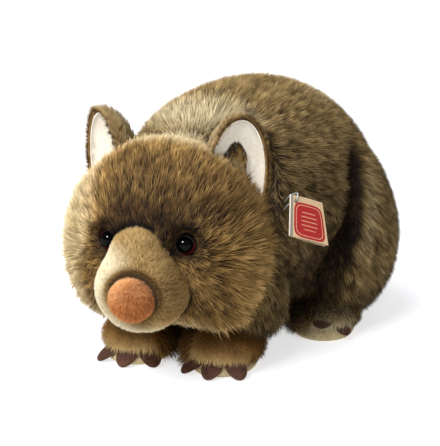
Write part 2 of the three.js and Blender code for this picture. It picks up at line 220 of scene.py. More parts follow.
class Forms:
    """Where everything is: the named sizes of the part's source, set by its nose."""

    TORSO = (
        Lobe((0, 44, 87), (66, 80, 75.5)),
        Lobe((0, 81, 76), (65.5, 62.5, 71.5)),
        Lobe((-5, 4, 88), (58, 46, 64)),
    )
    TAIL = Lobe((0, 145, 90), (8.5, 12, 8))
    HAUNCH = (Lobe((43, 87, 54), (34, 50, 52)), Lobe((41, 74, 86), (30, 43, 42)))
    FORELEGS = {Side.LEFT: (32, -8, 46), Side.RIGHT: (-32, -14, 46)}
    HEAD_MIDDLE = (-4, -46, 86)
    HEAD_YAW = 16
    SKULL = Lobe((0, 0, 0), (56, 48, 54))
    CHEEK = Lobe((27, -4, -18), (28, 33, 36))
    MUZZLE = (Lobe((-1.4, -42, -25), (27.5, 25, 24)), Lobe((-3, -41, -1), (14.5, 14.5, 13)))
    NOSE = Lobe((-2, -60, -26), (14.2, 10.5, 13.6))
    EYE = (22.3, -38.4, 1.6)
    EYE_SPLAY = 22
    EYE_DRIFT = {Side.LEFT: (0.0, 0.0), Side.RIGHT: (-1.2, -1.5)}
    EAR = (39, 10, 27)
    EAR_RADII = (21.5, 24, 42)
    EAR_SPLAY = {Side.LEFT: 35, Side.RIGHT: 42}
    EAR_LEAN = 6
    FOREFEET = {Side.LEFT: (22.5, -24, 0), Side.RIGHT: (-32.5, -31, 0)}
    FOREFOOT_TURN = 11
    HINDFOOT = (42, 65, 0)
    HINDFOOT_TURN = 25
    TAG = (69.3, -10.7, 93)
    TAG_YAW, TAG_PITCH, TAG_ROLL = 70, -26, 22

    def __init__(self) -> None:
        """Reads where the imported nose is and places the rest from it."""
        low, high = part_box("nose")
        turned = shift(self.HEAD_MIDDLE) @ turn("Z", self.HEAD_YAW)
        nose = turned @ (Vector(self.NOSE.middle) * MM)
        self.base = Matrix.Translation((low + high) / 2 - nose)
        self.head_place = self.base @ turned
        self.torso = Form(self.TORSO, 8, self.base)
        self.tail = Form([self.TAIL], 5, self.base)
        self.head = Form([self.SKULL, *(self.CHEEK.on(side) for side in Side)], 5, self.head_place)
        self.muzzle = Form(self.MUZZLE, 5, self.head_place)
        self.nose = Form([self.NOSE], 5, self.head_place)
        self.haunches = {side: Form([lobe.on(side) for lobe in self.HAUNCH], 6, self.base) for side in Side}
        self.forelegs = {side: Form(self.foreleg(side), 3, self.base) for side in Side}
        ear = [Lobe((0, 0, 0), self.EAR_RADII)]
        self.ears = {side: Form(ear, 5, self.ear_place(side)) for side in Side}

    def foreleg(self, side: Side) -> list[Lobe]:
        """The lobes of one foreleg, the lower one inside its hem."""
        x, y, z = self.FORELEGS[side]
        return [Lobe((x, y, z), (23, 24, 30)), Lobe((x, y, z - 15), (21.5, 23, 18))]

    def eye_place(self, side: Side) -> Matrix:
        """The frame of one eye, which looks to its own -Y."""
        x, y, z = self.EYE
        return self.head_place @ shift((x * side.value, y, z)) @ turn("Z", self.EYE_SPLAY * side.value)

    def eye_off_axis(self, side: Side, points: Array) -> Array:
        """How far points are from the line that an eye looks along, or 1 m where they are far behind it."""
        matrix = np.array(self.eye_place(side))
        local = (points - matrix[:3, 3]) @ matrix[:3, :3]
        x, z = self.EYE_DRIFT[side]
        off = np.hypot(local[:, 0] - x * MM, local[:, 2] - z * MM)
        return np.where(np.abs(local[:, 1]) < 0.02, off, 1.0)

    def ear_place(self, side: Side) -> Matrix:
        """The frame of one ear, which opens to its own -Y."""
        x, y, z = self.EAR
        lean = turn("Y", self.EAR_LEAN * side.value)
        spun = turn("Z", self.EAR_SPLAY[side] * side.value)
        return self.head_place @ shift((x * side.value, y, z)) @ lean @ spun

    def foot_place(self, name: str, side: Side) -> Matrix:
        """The frame of one foot, on the floor, which points to its own -Y."""
        if name == "fore":
            return self.base @ shift(self.FOREFEET[side]) @ turn("Z", self.FOREFOOT_TURN)
        x, y, z = self.HINDFOOT
        return self.base @ shift((x * side.value, y, z)) @ turn("Z", self.HINDFOOT_TURN * side.value)

    def tag_place(self) -> Matrix:
        """The frame of the folded card, which faces to its own -Y."""
        level = self.base @ shift(self.TAG) @ turn("Z", self.TAG_YAW)
        return level @ turn("X", self.TAG_PITCH) @ turn("Y", self.TAG_ROLL)


# Finishes


class Shader:
    """A material's node tree in the making."""

    def __init__(self, name: str) -> None:
        """Starts a material with one principled shader."""
        self.material = bpy.data.materials.new(name)
        self.material.use_nodes = True
        self.tree = self.material.node_tree
        self.surface = self.tree.nodes["Principled BSDF"]

    def add(self, kind: str, settings: dict | None = None, **inputs: object) -> bpy.types.Node:
        """Adds a node.

        Args:
            kind: the node's type name, without "ShaderNode".
            settings: its properties.
            inputs: its sockets by name, with _ for a space, or in0, in1 by place. An output socket links.

        Returns:
            The node.
        """
        node = self.tree.nodes.new("ShaderNode" + kind)
        for name, value in (settings or {}).items():
            setattr(node, name, value)
        for name, value in inputs.items():
            place = int(name[2:]) if name[:2] == "in" and name[2:].isdigit() else name.replace("_", " ")
            self.plug(node.inputs[place], value)
        return node

    def plug(self, socket: bpy.types.NodeSocket, value: object) -> None:
        """Links an output to the socket, or sets its value."""
        if isinstance(value, bpy.types.NodeSocket):
            self.tree.links.new(value, socket)
        else:
            socket.default_value = value

    def math(
        self, operation: str, first: object, second: object = 0.0, clamp: bool = False
    ) -> bpy.types.NodeSocket:
        """The result of a Math node."""
        settings = {"operation": operation, "use_clamp": clamp}
        return self.add("Math", settings, in0=first, in1=second).outputs[0]

    def mix(self, amount: object, first: object, second: object, blend: str = "MIX") -> bpy.types.NodeSocket:
        """The colour between two colours."""
        settings = {"data_type": "RGBA", "blend_type": blend}
        return self.add("Mix", settings, in0=amount, in6=first, in7=second).outputs[2]

    def ramp(self, amount: object, stops: Stops) -> bpy.types.NodeSocket:
        """A colour ramp.

        Args:
            amount: what runs along it.
            stops: places and screen colours, 0 to 255.

        Returns:
            Its colour.
        """
        node = self.add("ValToRGB", None, in0=amount)
        elements = node.color_ramp.elements
        while len(elements) < len(stops):
            elements.new(0.5)
        for element, (place, colour) in zip(elements, stops):
            element.position = place
            element.color = paint(colour)
        return node.outputs[0]

    def noise(self, scale: float, detail: float = 2.0) -> bpy.types.NodeSocket:
        """A noise in object space, at so many patches a metre."""
        place = self.add("TexCoord").outputs["Object"]
        return self.add("TexNoise", None, Vector=place, Scale=scale, Detail=detail).outputs[0]

    def bump(self, height: object, strength: float, distance: float) -> None:
        """Raises the surface by a height."""
        node = self.add("Bump", None, Strength=strength, Distance=distance, Height=height)
        self.plug(self.surface.inputs["Normal"], node.outputs[0])

    def set(self, **inputs: object) -> None:
        """Sets the principled shader's sockets by name, with _ for a space."""
        for name, value in inputs.items():
            self.plug(self.surface.inputs[name.replace("_", " ")], value)


def paint(colour: Sequence[float]) -> tuple[float, float, float, float]:
    """A screen colour, 0 to 255, as a linear one."""
    linear = [c / 3294.6 if c <= 10.3 else ((c / 255 + 0.055) / 1.055) ** 2.4 for c in colour]
    return (*linear, 1.0)


@dataclass(frozen=True)
class PlushFinish:
    """Pile that is dark at its roots and pale at its tips.

    The attribute "pile" carries how far along the hair a point is, the tuft's tone, and the marking
    with its painted light and shade, from 0, dark, over 0.5 to 1, pale.
    """

    name: str
    dark: Stops
    middle: Stops
    pale: Stops
    tone: float = 0.5
    roughness: float = 0.85

    def material(self) -> bpy.types.Material:
        """Makes the material."""
        s = Shader(self.name)
        pile = s.add("Attribute", {"attribute_name": "pile"}).outputs["Color"]
        parts = s.add("SeparateColor", None, Color=pile).outputs
        fleck = s.noise(900, 1.0)
        drift = s.math("MULTIPLY", s.math("SUBTRACT", parts[1], 0.5), 0.3)
        along = s.math("ADD", parts[0], drift, clamp=True)
        low = s.math("MULTIPLY", parts[2], 2.0, clamp=True)
        high = s.math("MULTIPLY", s.math("SUBTRACT", parts[2], 0.5), 2.0, clamp=True)
        shade = s.mix(low, s.ramp(along, self.dark), s.ramp(along, self.middle))
        shade = s.mix(high, shade, s.ramp(along, self.pale))
        spread = s.math("ADD", s.math("MULTIPLY", s.math("SUBTRACT", parts[1], 0.5), self.tone), 1.0)
        spread = s.math("MULTIPLY", spread, s.math("ADD", s.math("MULTIPLY", fleck, 0.3), 0.85))
        grey = s.add("CombineColor", None, in0=spread, in1=spread, in2=spread).outputs[0]
        s.set(
            Base_Color=s.mix(1.0, shade, grey, "MULTIPLY"),
            Roughness=self.roughness,
            Specular_IOR_Level=0.1,
        )
        return s.material


@dataclass(frozen=True)
class FeltFinish:
    """Pressed felt or short velvet in one colour with a little drift."""

    name: str
    colour: tuple[float, float, float]
    shade: tuple[float, float, float]
    grain: float = 1500.0
    depth: float = 0.3

    def material(self) -> bpy.types.Material:
        """Makes the material."""
        s = Shader(self.name)
        broad = s.noise(90, 3.0)
        fine = s.noise(self.grain, 4.0)
        both = s.math("ADD", s.math("MULTIPLY", broad, 0.4), s.math("MULTIPLY", fine, 0.6))
        s.set(
            Base_Color=s.ramp(both, ((0.3, self.shade), (0.62, self.colour))),
            Roughness=0.95,
            Specular_IOR_Level=0.12,
        )
        s.bump(fine, self.depth, 0.0006)
        return s.material


@dataclass(frozen=True)
class GlossFinish:
    """Moulded plastic or glass with a polished skin."""

    name: str
    colour: tuple[float, float, float]
    roughness: float
    gloss: float = 0.5
    ripple: float = 0.0

    def material(self) -> bpy.types.Material:
        """Makes the material."""
        s = Shader(self.name)
        soft = s.noise(300, 2.0)
        low = tuple(0.8 * c for c in self.colour)
        s.set(
            Base_Color=s.ramp(soft, ((0.3, low), (0.7, self.colour))),
            Roughness=s.math("ADD", s.math("MULTIPLY", soft, 0.04), self.roughness),
            Specular_IOR_Level=self.gloss,
        )
        if self.ripple:
            s.bump(soft, self.ripple, 0.0002)
        return s.material


class Cloths:
    """The finishes of this toy, each made once."""

    def __init__(self) -> None:
        """Makes the materials."""
        self.fur = PlushFinish(
            "body_plush",
            dark=((0.0, (7, 5, 3)), (0.45, (22, 15, 8)), (0.8, (56, 41, 22)), (1.0, (90, 71, 43))),
            middle=((0.0, (14, 10, 6)), (0.3, (46, 33, 18)), (0.65, (118, 95, 56)), (1.0, (172, 148, 102))),
            pale=(
                (0.0, (74, 60, 38)),
                (0.35, (158, 140, 102)),
                (0.7, (212, 198, 160)),
                (1.0, (236, 226, 196)),
            ),
            tone=1.15,
        ).material()
        self.mane = PlushFinish(
            "head_plush",
            dark=((0.0, (8, 5, 3)), (0.45, (24, 15, 7)), (0.8, (60, 40, 18)), (1.0, (100, 74, 40))),
            middle=((0.0, (14, 9, 4)), (0.3, (48, 31, 14)), (0.65, (126, 94, 48)), (1.0, (182, 148, 92))),
            pale=(
                (0.0, (80, 60, 34)),
                (0.35, (160, 136, 90)),
                (0.7, (214, 194, 150)),
                (1.0, (240, 226, 190)),
            ),
            tone=0.9,
        ).material()
        self.muzzle = PlushFinish(
            "muzzle_pile",
            dark=((0.0, (30, 19, 8)), (0.5, (84, 58, 26)), (1.0, (128, 94, 48))),
            middle=((0.0, (84, 62, 32)), (0.5, (150, 120, 72)), (1.0, (182, 154, 104))),
            pale=((0.0, (166, 146, 106)), (0.5, (220, 206, 170)), (1.0, (240, 232, 206))),
            tone=0.35,
        ).material()
        self.nose = PlushFinish(
            "nose_pile",
            dark=((0.0, (58, 26, 10)), (0.6, (120, 64, 28)), (1.0, (158, 92, 46))),
            middle=((0.0, (104, 54, 24)), (0.6, (176, 106, 58)), (1.0, (208, 140, 86))),
            pale=((0.0, (150, 92, 50)), (0.6, (210, 150, 98)), (1.0, (232, 182, 132))),
            tone=0.5,
        ).material()
        self.foot = PlushFinish(
            "foot_pile",
            dark=((0.0, (16, 10, 5)), (0.5, (54, 35, 15)), (1.0, (92, 64, 30))),
            middle=((0.0, (48, 30, 11)), (0.5, (132, 90, 40)), (1.0, (176, 130, 68))),
            pale=((0.0, (120, 92, 50)), (0.5, (196, 162, 106)), (1.0, (236, 210, 158))),
            tone=0.5,
        ).material()
        self.ear_nap = PlushFinish(
            "ear_nap",
            dark=((0.0, (190, 166, 130)), (1.0, (218, 198, 162))),
            middle=((0.0, (212, 190, 156)), (1.0, (238, 222, 192))),
            pale=((0.0, (228, 212, 184)), (1.0, (250, 242, 224))),
            tone=0.12,
        ).material()
        self.sole = FeltFinish("sole_plush", (196, 180, 140), (136, 116, 78), 1100, 0.8).material()
        self.suede = FeltFinish("claw_suede", (92, 60, 47), (30, 19, 14), 900, 1.0).material()
        self.ear_felt = FeltFinish("ear_felt", (255, 249, 238), (240, 226, 206), 1700, 0.35).material()
        self.red_felt = FeltFinish("red_felt", (150, 28, 30), (92, 14, 18), 1700, 0.5).material()
        self.glass = GlossFinish("eye_glass", (1, 2, 3), 0.02, gloss=0.08).material()
        self.rim = GlossFinish("eye_rim_black", (8, 6, 5), 0.6, gloss=0.2).material()
        self.nylon = GlossFinish("loop_nylon", (150, 152, 148), 0.35).material()


# Meshes


def clear() -> None:
    """Deselects everything."""
    if bpy.context.mode != "OBJECT":
        bpy.ops.object.mode_set(mode="OBJECT")
    bpy.ops.object.select_all(action="DESELECT")


def choose(obj: bpy.types.Object) -> None:
    """Selects one object alone and makes it active."""
    clear()
    obj.select_set(True)
    bpy.context.view_layer.objects.active = obj


def vertices(obj: bpy.types.Object) -> Array:
    """The places of an object's vertices."""
    out = np.empty(len(obj.data.vertices) * 3)
    obj.data.vertices.foreach_get("co", out)
    return out.reshape(-1, 3)


def settle(obj: bpy.types.Object, places: Array) -> None:
    """Puts an object's vertices at these places."""
    obj.data.vertices.foreach_set("co", np.ascontiguousarray(places, dtype=np.float32).ravel())
    obj.data.update()


def apply(obj: bpy.types.Object, kind: str, **settings: object) -> None:
    """Adds a modifier and applies it."""
    choose(obj)
    modifier = obj.modifiers.new(kind.title(), kind)
    for name, value in settings.items():
        setattr(modifier, name, value)
    bpy.ops.object.modifier_apply(modifier=modifier.name)


def smooth(obj: bpy.types.Object) -> bpy.types.Object:
    """Shades an object smooth and returns it."""
    choose(obj)
    bpy.ops.object.shade_smooth()
    return obj


def carry(obj: bpy.types.Object, place: Matrix) -> bpy.types.Object:
    """Moves an object's mesh by a matrix, with its object left at the origin."""
    obj.data.transform(place)
    obj.data.update()
    return obj


def dress(
    obj: bpy.types.Object, name: str, material: bpy.types.Material, slot: str, *nodes: str
) -> bpy.types.Object:
    """Finishes a piece: its name, its material and the nodes it stands for.

    Args:
        obj: the piece.
        name: its name.
        material: its finish.
        slot: not used.
        nodes: the solids that it replaces.

    Returns:
        The piece.
    """
    obj.name = obj.data.name = name
    obj.data.materials.clear()
    obj.data.materials.append(material)
    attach(obj, BODY)
    if nodes:
        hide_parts(*nodes)
    LOG.info("%s: %d faces", name, len(obj.data.polygons))
    return obj


def sphere(segments: int, rings: int) -> bpy.types.Object:
    """A sphere of radius 1 m whose poles lie along Y, with its faces in a fixed order.

    Blender adds the faces in an order that changes from run to run, and roots are drawn by that order.

    Args:
        segments: how many faces there are round it.
        rings: how many from pole to pole.

    Returns:
        The new object.
    """
    clear()
    bpy.ops.mesh.primitive_uv_sphere_add(segments=segments, ring_count=rings, radius=1.0, location=(0, 0, 0))
    obj = bpy.context.object
    points = vertices(obj)
    faces = []
    for face in obj.data.polygons:
        corners = tuple(face.vertices)
        first = corners.index(min(corners))
        faces.append(corners[first:] + corners[:first])
    obj.data.clear_geometry()
    obj.data.from_pydata(points.tolist(), [], sorted(faces))
    obj.data.transform(turn("X", 90))
    return obj


def ball(form: Form, detail: int, depth: Callable[[Array], Array] | float = 0.0) -> bpy.types.Object:
    """A ball pushed out to a form, less the depth of its pile.

    Args:
        form: the form.
        detail: the ball's subdivisions.
        depth: the pile's depth in metres, or a function of the places.

    Returns:
        The new object.
    """
    clear()
    bpy.ops.mesh.primitive_ico_sphere_add(subdivisions=detail, radius=1.0, location=(0, 0, 0))
    obj = bpy.context.object
    points = form.reach(unit(vertices(obj)))
    normals = unit(form.slope(points))
    amount = depth(points) if callable(depth) else np.full(len(points), depth)
    settle(obj, points - normals * amount[:, None])
    return obj


def cut(obj: bpy.types.Object, place: Sequence[float], normal: Sequence[float], fill: bool) -> None:
    """Cuts away what lies beyond a plane, and closes the cut where it is filled."""
    choose(obj)
    bpy.ops.object.mode_set(mode="EDIT")
    bpy.ops.mesh.select_all(action="SELECT")
    bpy.ops.mesh.bisect(plane_co=place, plane_no=normal, use_fill=fill, clear_outer=True)
    bpy.ops.object.mode_set(mode="OBJECT")


def loft(rings: Array) -> bpy.types.Object:
    """A tube through rings of points, with its ends closed.

    Args:
        rings: rings x points x 3.

    Returns:
        The new object, with its faces outwards.
    """
    count, sides, _ = rings.shape
    faces = [
        (k * sides + j, k * sides + (j + 1) % sides, (k + 1) * sides + (j + 1) % sides, (k + 1) * sides + j)
        for k in range(count - 1)
        for j in range(sides)
    ]
    faces += [tuple(range(sides))[::-1], tuple((count - 1) * sides + j for j in range(sides))]
    mesh = bpy.data.meshes.new("loft")
    mesh.from_pydata(rings.reshape(-1, 3).tolist(), [], faces)
    obj = bpy.data.objects.new("loft", mesh)
    bpy.context.collection.objects.link(obj)
    choose(obj)
    bpy.ops.object.mode_set(mode="EDIT")
    bpy.ops.mesh.select_all(action="SELECT")
    bpy.ops.mesh.normals_make_consistent(inside=False)
    bpy.ops.object.mode_set(mode="OBJECT")
    return obj


def curve(route: Array, steps: int) -> Array:
    """A smooth line through the points of a route, with so many steps from each to the next."""
    padded = np.vstack([2 * route[0] - route[1], route, 2 * route[-1] - route[-2]])
    line = []
    for i in range(1, len(padded) - 2):
        p0, p1, p2, p3 = padded[i - 1 : i + 3]
        for t in np.linspace(0, 1, steps, endpoint=i == len(padded) - 3):
            square = (2 * p0 - 5 * p1 + 4 * p2 - p3) * t**2
            cube = (3 * p1 - p0 - 3 * p2 + p3) * t**3
            line.append(0.5 * (2 * p1 + (p2 - p0) * t + square + cube))
    return np.array(line)


def write_pile(obj: bpy.types.Object, along: Array, tone: Array, mark: Array) -> None:
    """Stores the attribute that the plush finishes read."""
    layer = obj.data.color_attributes.new("pile", "FLOAT_COLOR", "POINT")
    values = np.stack([along, tone, mark, np.ones_like(along)], 1).astype(np.float32)
    layer.data.foreach_set("color", values.ravel())


# Pile


@dataclass
class Roots:
    """Places on a skin where tufts grow, with everything that shapes them. Lengths are in metres."""

    place: Array
    normal: Array
    lie: Array = field(default_factory=lambda: np.zeros((0, 3)))
    length: Array = field(default_factory=lambda: np.zeros(0))
    width: Array = field(default_factory=lambda: np.zeros(0))
    lift: Array = field(default_factory=lambda: np.zeros(0))
    mark: Array = field(default_factory=lambda: np.zeros(0))
    tone: Array = field(default_factory=lambda: np.zeros(0))

    def keep(self, chosen: Array) -> "Roots":
        """The chosen roots alone."""
        cut = {
            name: value[chosen] if len(value) == len(self.place) else value
            for name, value in vars(self).items()
        }
        return Roots(**cut)

    def __len__(self) -> int:
        """How many roots there are."""
        return len(self.place)


def scatter(skin: bpy.types.Object, spacing: Callable[[Array, Array], Array], seed: int) -> Roots:
    """Spreads roots evenly over a skin.

    Args:
        skin: the mesh to grow on.
        spacing: gives the distance between roots for places and normals, in metres; 0 for bare.
        seed: for the draw.

    Returns:
        The roots, with their places and normals.
    """
    mesh = skin.data
    mesh.calc_loop_triangles()
    corners = np.empty(len(mesh.loop_triangles) * 3, np.int32)
    mesh.loop_triangles.foreach_get("vertices", corners)
    corners = corners.reshape(-1, 3)
    points = vertices(skin)
    normals = np.empty(len(points) * 3)
    mesh.vertices.foreach_get("normal", normals)
    normals = normals.reshape(-1, 3)
    a, b, c = (points[corners[:, i]] for i in range(3))
    area = np.linalg.norm(np.cross(b - a, c - a), axis=1) / 2
    gap = spacing((a + b + c) / 3, unit(normals[corners].sum(1)))
    weight = np.where(gap > 0, area / np.maximum(gap, 1e-5) ** 2, 0.0)
    count = int(weight.sum())
    rng = np.random.default_rng(seed)
    order = np.cumsum(weight) / weight.sum()
    draws = (np.arange(count) + rng.uniform(size=count)) / count
    tri = np.minimum(np.searchsorted(order, draws), len(order) - 1)
    u, v = rng.uniform(size=(2, count))
    flip = u + v > 1
    u, v = np.where(flip, 1 - u, u)[:, None], np.where(flip, 1 - v, v)[:, None]
    place = a[tri] + u * (b - a)[tri] + v * (c - a)[tri]
    n0, n1, n2 = (normals[corners[tri, i]] for i in range(3))
    return Roots(place, unit(n0 + u * (n1 - n0) + v * (n2 - n0)))


@dataclass(frozen=True)
class Pile:
    """How the tufts of one kind of pile are made.

    Lengths are in metres and angles in degrees. Clumps stand a clump's width apart and gather the tips
    of their tufts. Swing turns a clump in its lie and stray turns a tuft. Rise is how much steeper a tuft
    starts than it ends, and sunk is how deep its root goes. Flat is its thickness against its width, and
    patch its size on the unwrap. Soft is how far its shading follows the skin's. Patchy and fleck vary
    the tone of clumps and tufts, and dull is the share of clumps that are dark.
    """

    FULLNESS = {1: (1.0,), 2: (0.8, 0.85)}
    CLUMP_TILT, TUFT_TILT = 4.0, 5.0
    LEAST_LIFT, MOST_LIFT = 0.03, 1.5
    LENGTHS, PULLS = (0.82, 1.12), (0.5, 1.2)
    PLAIN_TONE, DULL_DROP, PALE_CALM = 0.46, 0.26, 0.6

    segments: int = 2
    clump: float = 0.006
    gather: float = 0.45
    swing: float = 14.0
    stray: float = 7.0
    rise: float = 22.0
    sunk: float = 0.0005
    flat: float = 0.35
    patch: float = 0.003
    fleck: float = 0.1
    soft: float = 1.7
    patchy: float = 0.05
    dull: float = 0.05

    def clumps(self, roots: Roots, rng: np.random.Generator) -> tuple[Array, Array]:
        """Gives each root its clump.

        Args:
            roots: the roots.
            rng: the draw.

        Returns:
            The clumps' middle roots as numbers, and the clump of each root.
        """
        middle = np.arange(len(roots))
        rng.shuffle(middle)
        taken = kdtree.KDTree(len(roots))
        for i, place in enumerate(roots.place):
            taken.insert(place, i)
        taken.balance()
        free = np.ones(len(roots), bool)
        chosen = []
        for i in middle:
            if free[i]:
                chosen.append(i)
                near = [found[1] for found in taken.find_range(roots.place[i], self.clump)]
                free[near] = False
        tree = kdtree.KDTree(len(chosen))
        for k, i in enumerate(chosen):
            tree.insert(roots.place[i], k)
        tree.balance()
        jitter = roots.place + rng.normal(scale=self.clump * 0.16, size=roots.place.shape)
        owner = np.array([tree.find(place)[1] for place in jitter])
        return np.array(chosen), owner

    def grow(self, roots: Roots, seed: int) -> tuple[Array, Array, Array]:
        """Bends each tuft over its root.

        Args:
            roots: the roots, with all that shapes them.
            seed: for the draw.

        Returns:
            The start, the bend and the tip of each tuft.
        """
        rng = np.random.default_rng(seed)
        count = len(roots)
        chosen, owner = self.clumps(roots, rng)
        swing = np.radians(rng.normal(scale=self.swing, size=len(chosen)))[owner]
        swing = swing + np.radians(rng.normal(scale=self.stray, size=count))
        tilt = np.radians(rng.normal(scale=self.CLUMP_TILT, size=len(chosen)))[owner]
        tip_lift = roots.lift + tilt
        tip_lift = tip_lift + np.radians(rng.normal(scale=self.TUFT_TILT, size=count))
        tip_lift = np.clip(tip_lift, self.LEAST_LIFT, self.MOST_LIFT)
        across = np.cross(roots.normal, roots.lie)
        along = roots.lie * np.cos(swing)[:, None] + across * np.sin(swing)[:, None]
        length = roots.length * rng.uniform(*self.LENGTHS, count)

        def over(lift: Array, reach: Array) -> Array:
            """Where straight tufts of this lift and reach would end."""
            ahead = along * np.cos(lift)[:, None] + roots.normal * np.sin(lift)[:, None]
            return roots.place + ahead * reach[:, None]

        start = roots.place - roots.normal * self.sunk
        tip = over(tip_lift, length)
        bend = over(np.minimum(tip_lift + math.radians(self.rise), self.MOST_LIFT), 0.5 * length)
        pull = self.gather * rng.uniform(*self.PULLS, count)[:, None]
        tip = tip + (tip[chosen][owner] - tip) * pull
        bend = bend + (bend[chosen][owner] - bend) * pull * 0.5
        clump_tone = rng.normal(scale=self.patchy, size=len(chosen))
        clump_tone = clump_tone - self.DULL_DROP * (rng.uniform(size=len(chosen)) < self.dull)
        change = roots.tone - self.PLAIN_TONE + clump_tone[owner] + rng.normal(scale=self.fleck, size=count)
        calm = 1 - self.PALE_CALM * ease(roots.mark, 0.55, 0.9)
        roots.tone = np.clip(0.5 + change * calm, 0, 1)
        return start, bend, tip

    def tufts(
        self, roots: Roots, start: Array, bend: Array, tip: Array, spot: Array, seed: int
    ) -> bpy.types.Object:
        """Joins the tufts as one mesh of closed three-sided blades.

        Args:
            roots: the roots.
            start: where each tuft starts.
            bend: where it bends.
            tip: where it ends.
            spot: its place on the unwrap of the skin, from 0 to 1.
            seed: for the draw.

        Returns:
            The new object.
        """
        rng = np.random.default_rng(seed)
        count, rings = len(roots), self.segments
        size = 3 * rings + 1
        roll = rng.normal(scale=0.5, size=count)[:, None]
        points = np.empty((count, size, 3))
        facing = np.repeat(roots.normal[:, None] * self.soft, size, axis=1)
        steps = np.arange(rings) / rings
        for k, t in enumerate(steps):
            middle = (1 - t) ** 2 * start + 2 * t * (1 - t) * bend + t**2 * tip
            ahead = unit((1 - t) * (bend - start) + t * (tip - bend))
            side = unit(np.cross(ahead, roots.normal))
            up = np.cross(side, ahead)
            side, up = side * np.cos(roll) + up * np.sin(roll), up * np.cos(roll) - side * np.sin(roll)
            half = (roots.width * self.FULLNESS[rings][k] / 2)[:, None]
            points[:, 3 * k] = middle - side * half
            points[:, 3 * k + 1] = middle + side * half
            points[:, 3 * k + 2] = middle + up * half * 2 * self.flat
            facing[:, 3 * k] -= side
            facing[:, 3 * k + 1] += side
            facing[:, 3 * k + 2] += up
        points[:, -1] = tip
        points[..., 2] = np.maximum(points[..., 2], FLOOR_GAP)
        faces = [(0, 1, 2)]
        for k in range(rings - 1):
            for j in range(3):
                n = (j + 1) % 3
                low, high = 3 * k, 3 * k + 3
                faces += [(low + j, high + n, low + n), (low + j, high + j, high + n)]
        last = 3 * (rings - 1)
        faces += [(last + j, size - 1, last + (j + 1) % 3) for j in range(3)]
        pattern = np.array(faces, np.int32)
        index = (np.arange(count, dtype=np.int32)[:, None, None] * size + pattern[None]).ravel()
        mesh = bpy.data.meshes.new("tufts")
        mesh.vertices.add(count * size)
        mesh.loops.add(len(index))
        mesh.polygons.add(len(index) // 3)
        mesh.vertices.foreach_set("co", points.astype(np.float32).ravel())
        mesh.loops.foreach_set("vertex_index", index)
        mesh.polygons.foreach_set("loop_start", np.arange(0, len(index), 3, dtype=np.int32))
        mesh.polygons.foreach_set("use_smooth", np.ones(len(index) // 3, bool))
        mesh.update(calc_edges=True)
        mesh.normals_split_custom_set_from_vertices(unit(facing.reshape(-1, 3)).tolist())
        obj = bpy.data.objects.new("tufts", mesh)
        bpy.context.collection.objects.link(obj)
        far = np.append(np.repeat(steps, 3), 1.0)
        write_pile(obj, np.tile(far, count), np.repeat(roots.tone, size), np.repeat(roots.mark, size))
        cross = np.append(np.tile((0.15, 0.85, 0.5), rings), 0.5)
        corner = np.stack([cross, far], 1)[pattern.ravel()] * self.patch
        uv = (spot[:, None, :] + corner[None]).reshape(-1, 2)
        mesh.uv_layers.new(name="OFBake").data.foreach_set("uv", uv.astype(np.float32).ravel())
        return obj

    def coat(
        self,
        name: str,
        roots: Roots,
        form: Form,
        material: bpy.types.Material,
        slot: str,
        seed: int,
        parts: int = 1,
    ) -> list[bpy.types.Object]:
        """Grows a coat in one or more pieces.

        Args:
            name: the coat's name.
            roots: where it grows.
            form: the form that it grows on, which its unwrap goes round.
            material: its finish.
            slot: the record's slot.
            seed: for the draw.
            parts: how many pieces it is split into.

        Returns:
            The pieces.
        """
        start, bend, tip = self.grow(roots, seed)
        ray = unit((form.local(roots.place) - form.middles[0]) / form.radii[0])
        turned = np.arctan2(ray[:, 0], ray[:, 2])
        made = []
        for k, chosen in enumerate(np.array_split(np.argsort(turned), parts)):
            spot = np.stack([turned[chosen], ray[chosen, 1]], 1)
            low, high = spot.min(0), spot.max(0)
            spot = 0.005 + (spot - low) / (high - low) * 0.985
            blades = self.tufts(roots.keep(chosen), start[chosen], bend[chosen], tip[chosen], spot, seed + k)
            label = name if parts == 1 else f"{name}_{k + 1}"
            made.append(dress(blades, label, material, slot))
        return made


# The large stuffed body


class Region(Enum):
    """The part of the coat that a root belongs to."""

    BODY = 0
    HEAD = 1
    HAUNCH_LEFT = 2
    HAUNCH_RIGHT = 3
    FORELEG_LEFT = 4
    FORELEG_RIGHT = 5
    TAIL = 6


@dataclass(frozen=True)
class Markings:
    """How much paler each part of the long pile is than the rest, or darker where it is below 0.

    Most of these are painted light and shade: the nape, the streak on the haunch, the crown and the right
    cheek are paler where the lamp falls, and the belly, sides, neck, haunch, rump, the pile behind the ear,
    the belly's hollow, the crease, the chest, the left cheek and the seam behind the head are darker where
    shade falls. Brow and eyes are partly dark pile and partly painted shade.
    """

    nape: float = 0.52
    belly: float = -0.4
    side: float = -0.2
    neck: float = -0.08
    streak: float = 0.14
    haunch: float = -0.08
    rump: float = -0.42
    behind_ear: float = -0.4
    hollow: float = -0.7
    crease: float = -0.74
    chest: float = -0.4
    brow: float = -0.42
    eyes: float = -0.45
    crown: float = 0.42
    right_cheek: float = 0.36
    forehead: float = -0.3
    left_cheek: float = -0.08
    chin: float = 0.12
    seam: float = -0.4


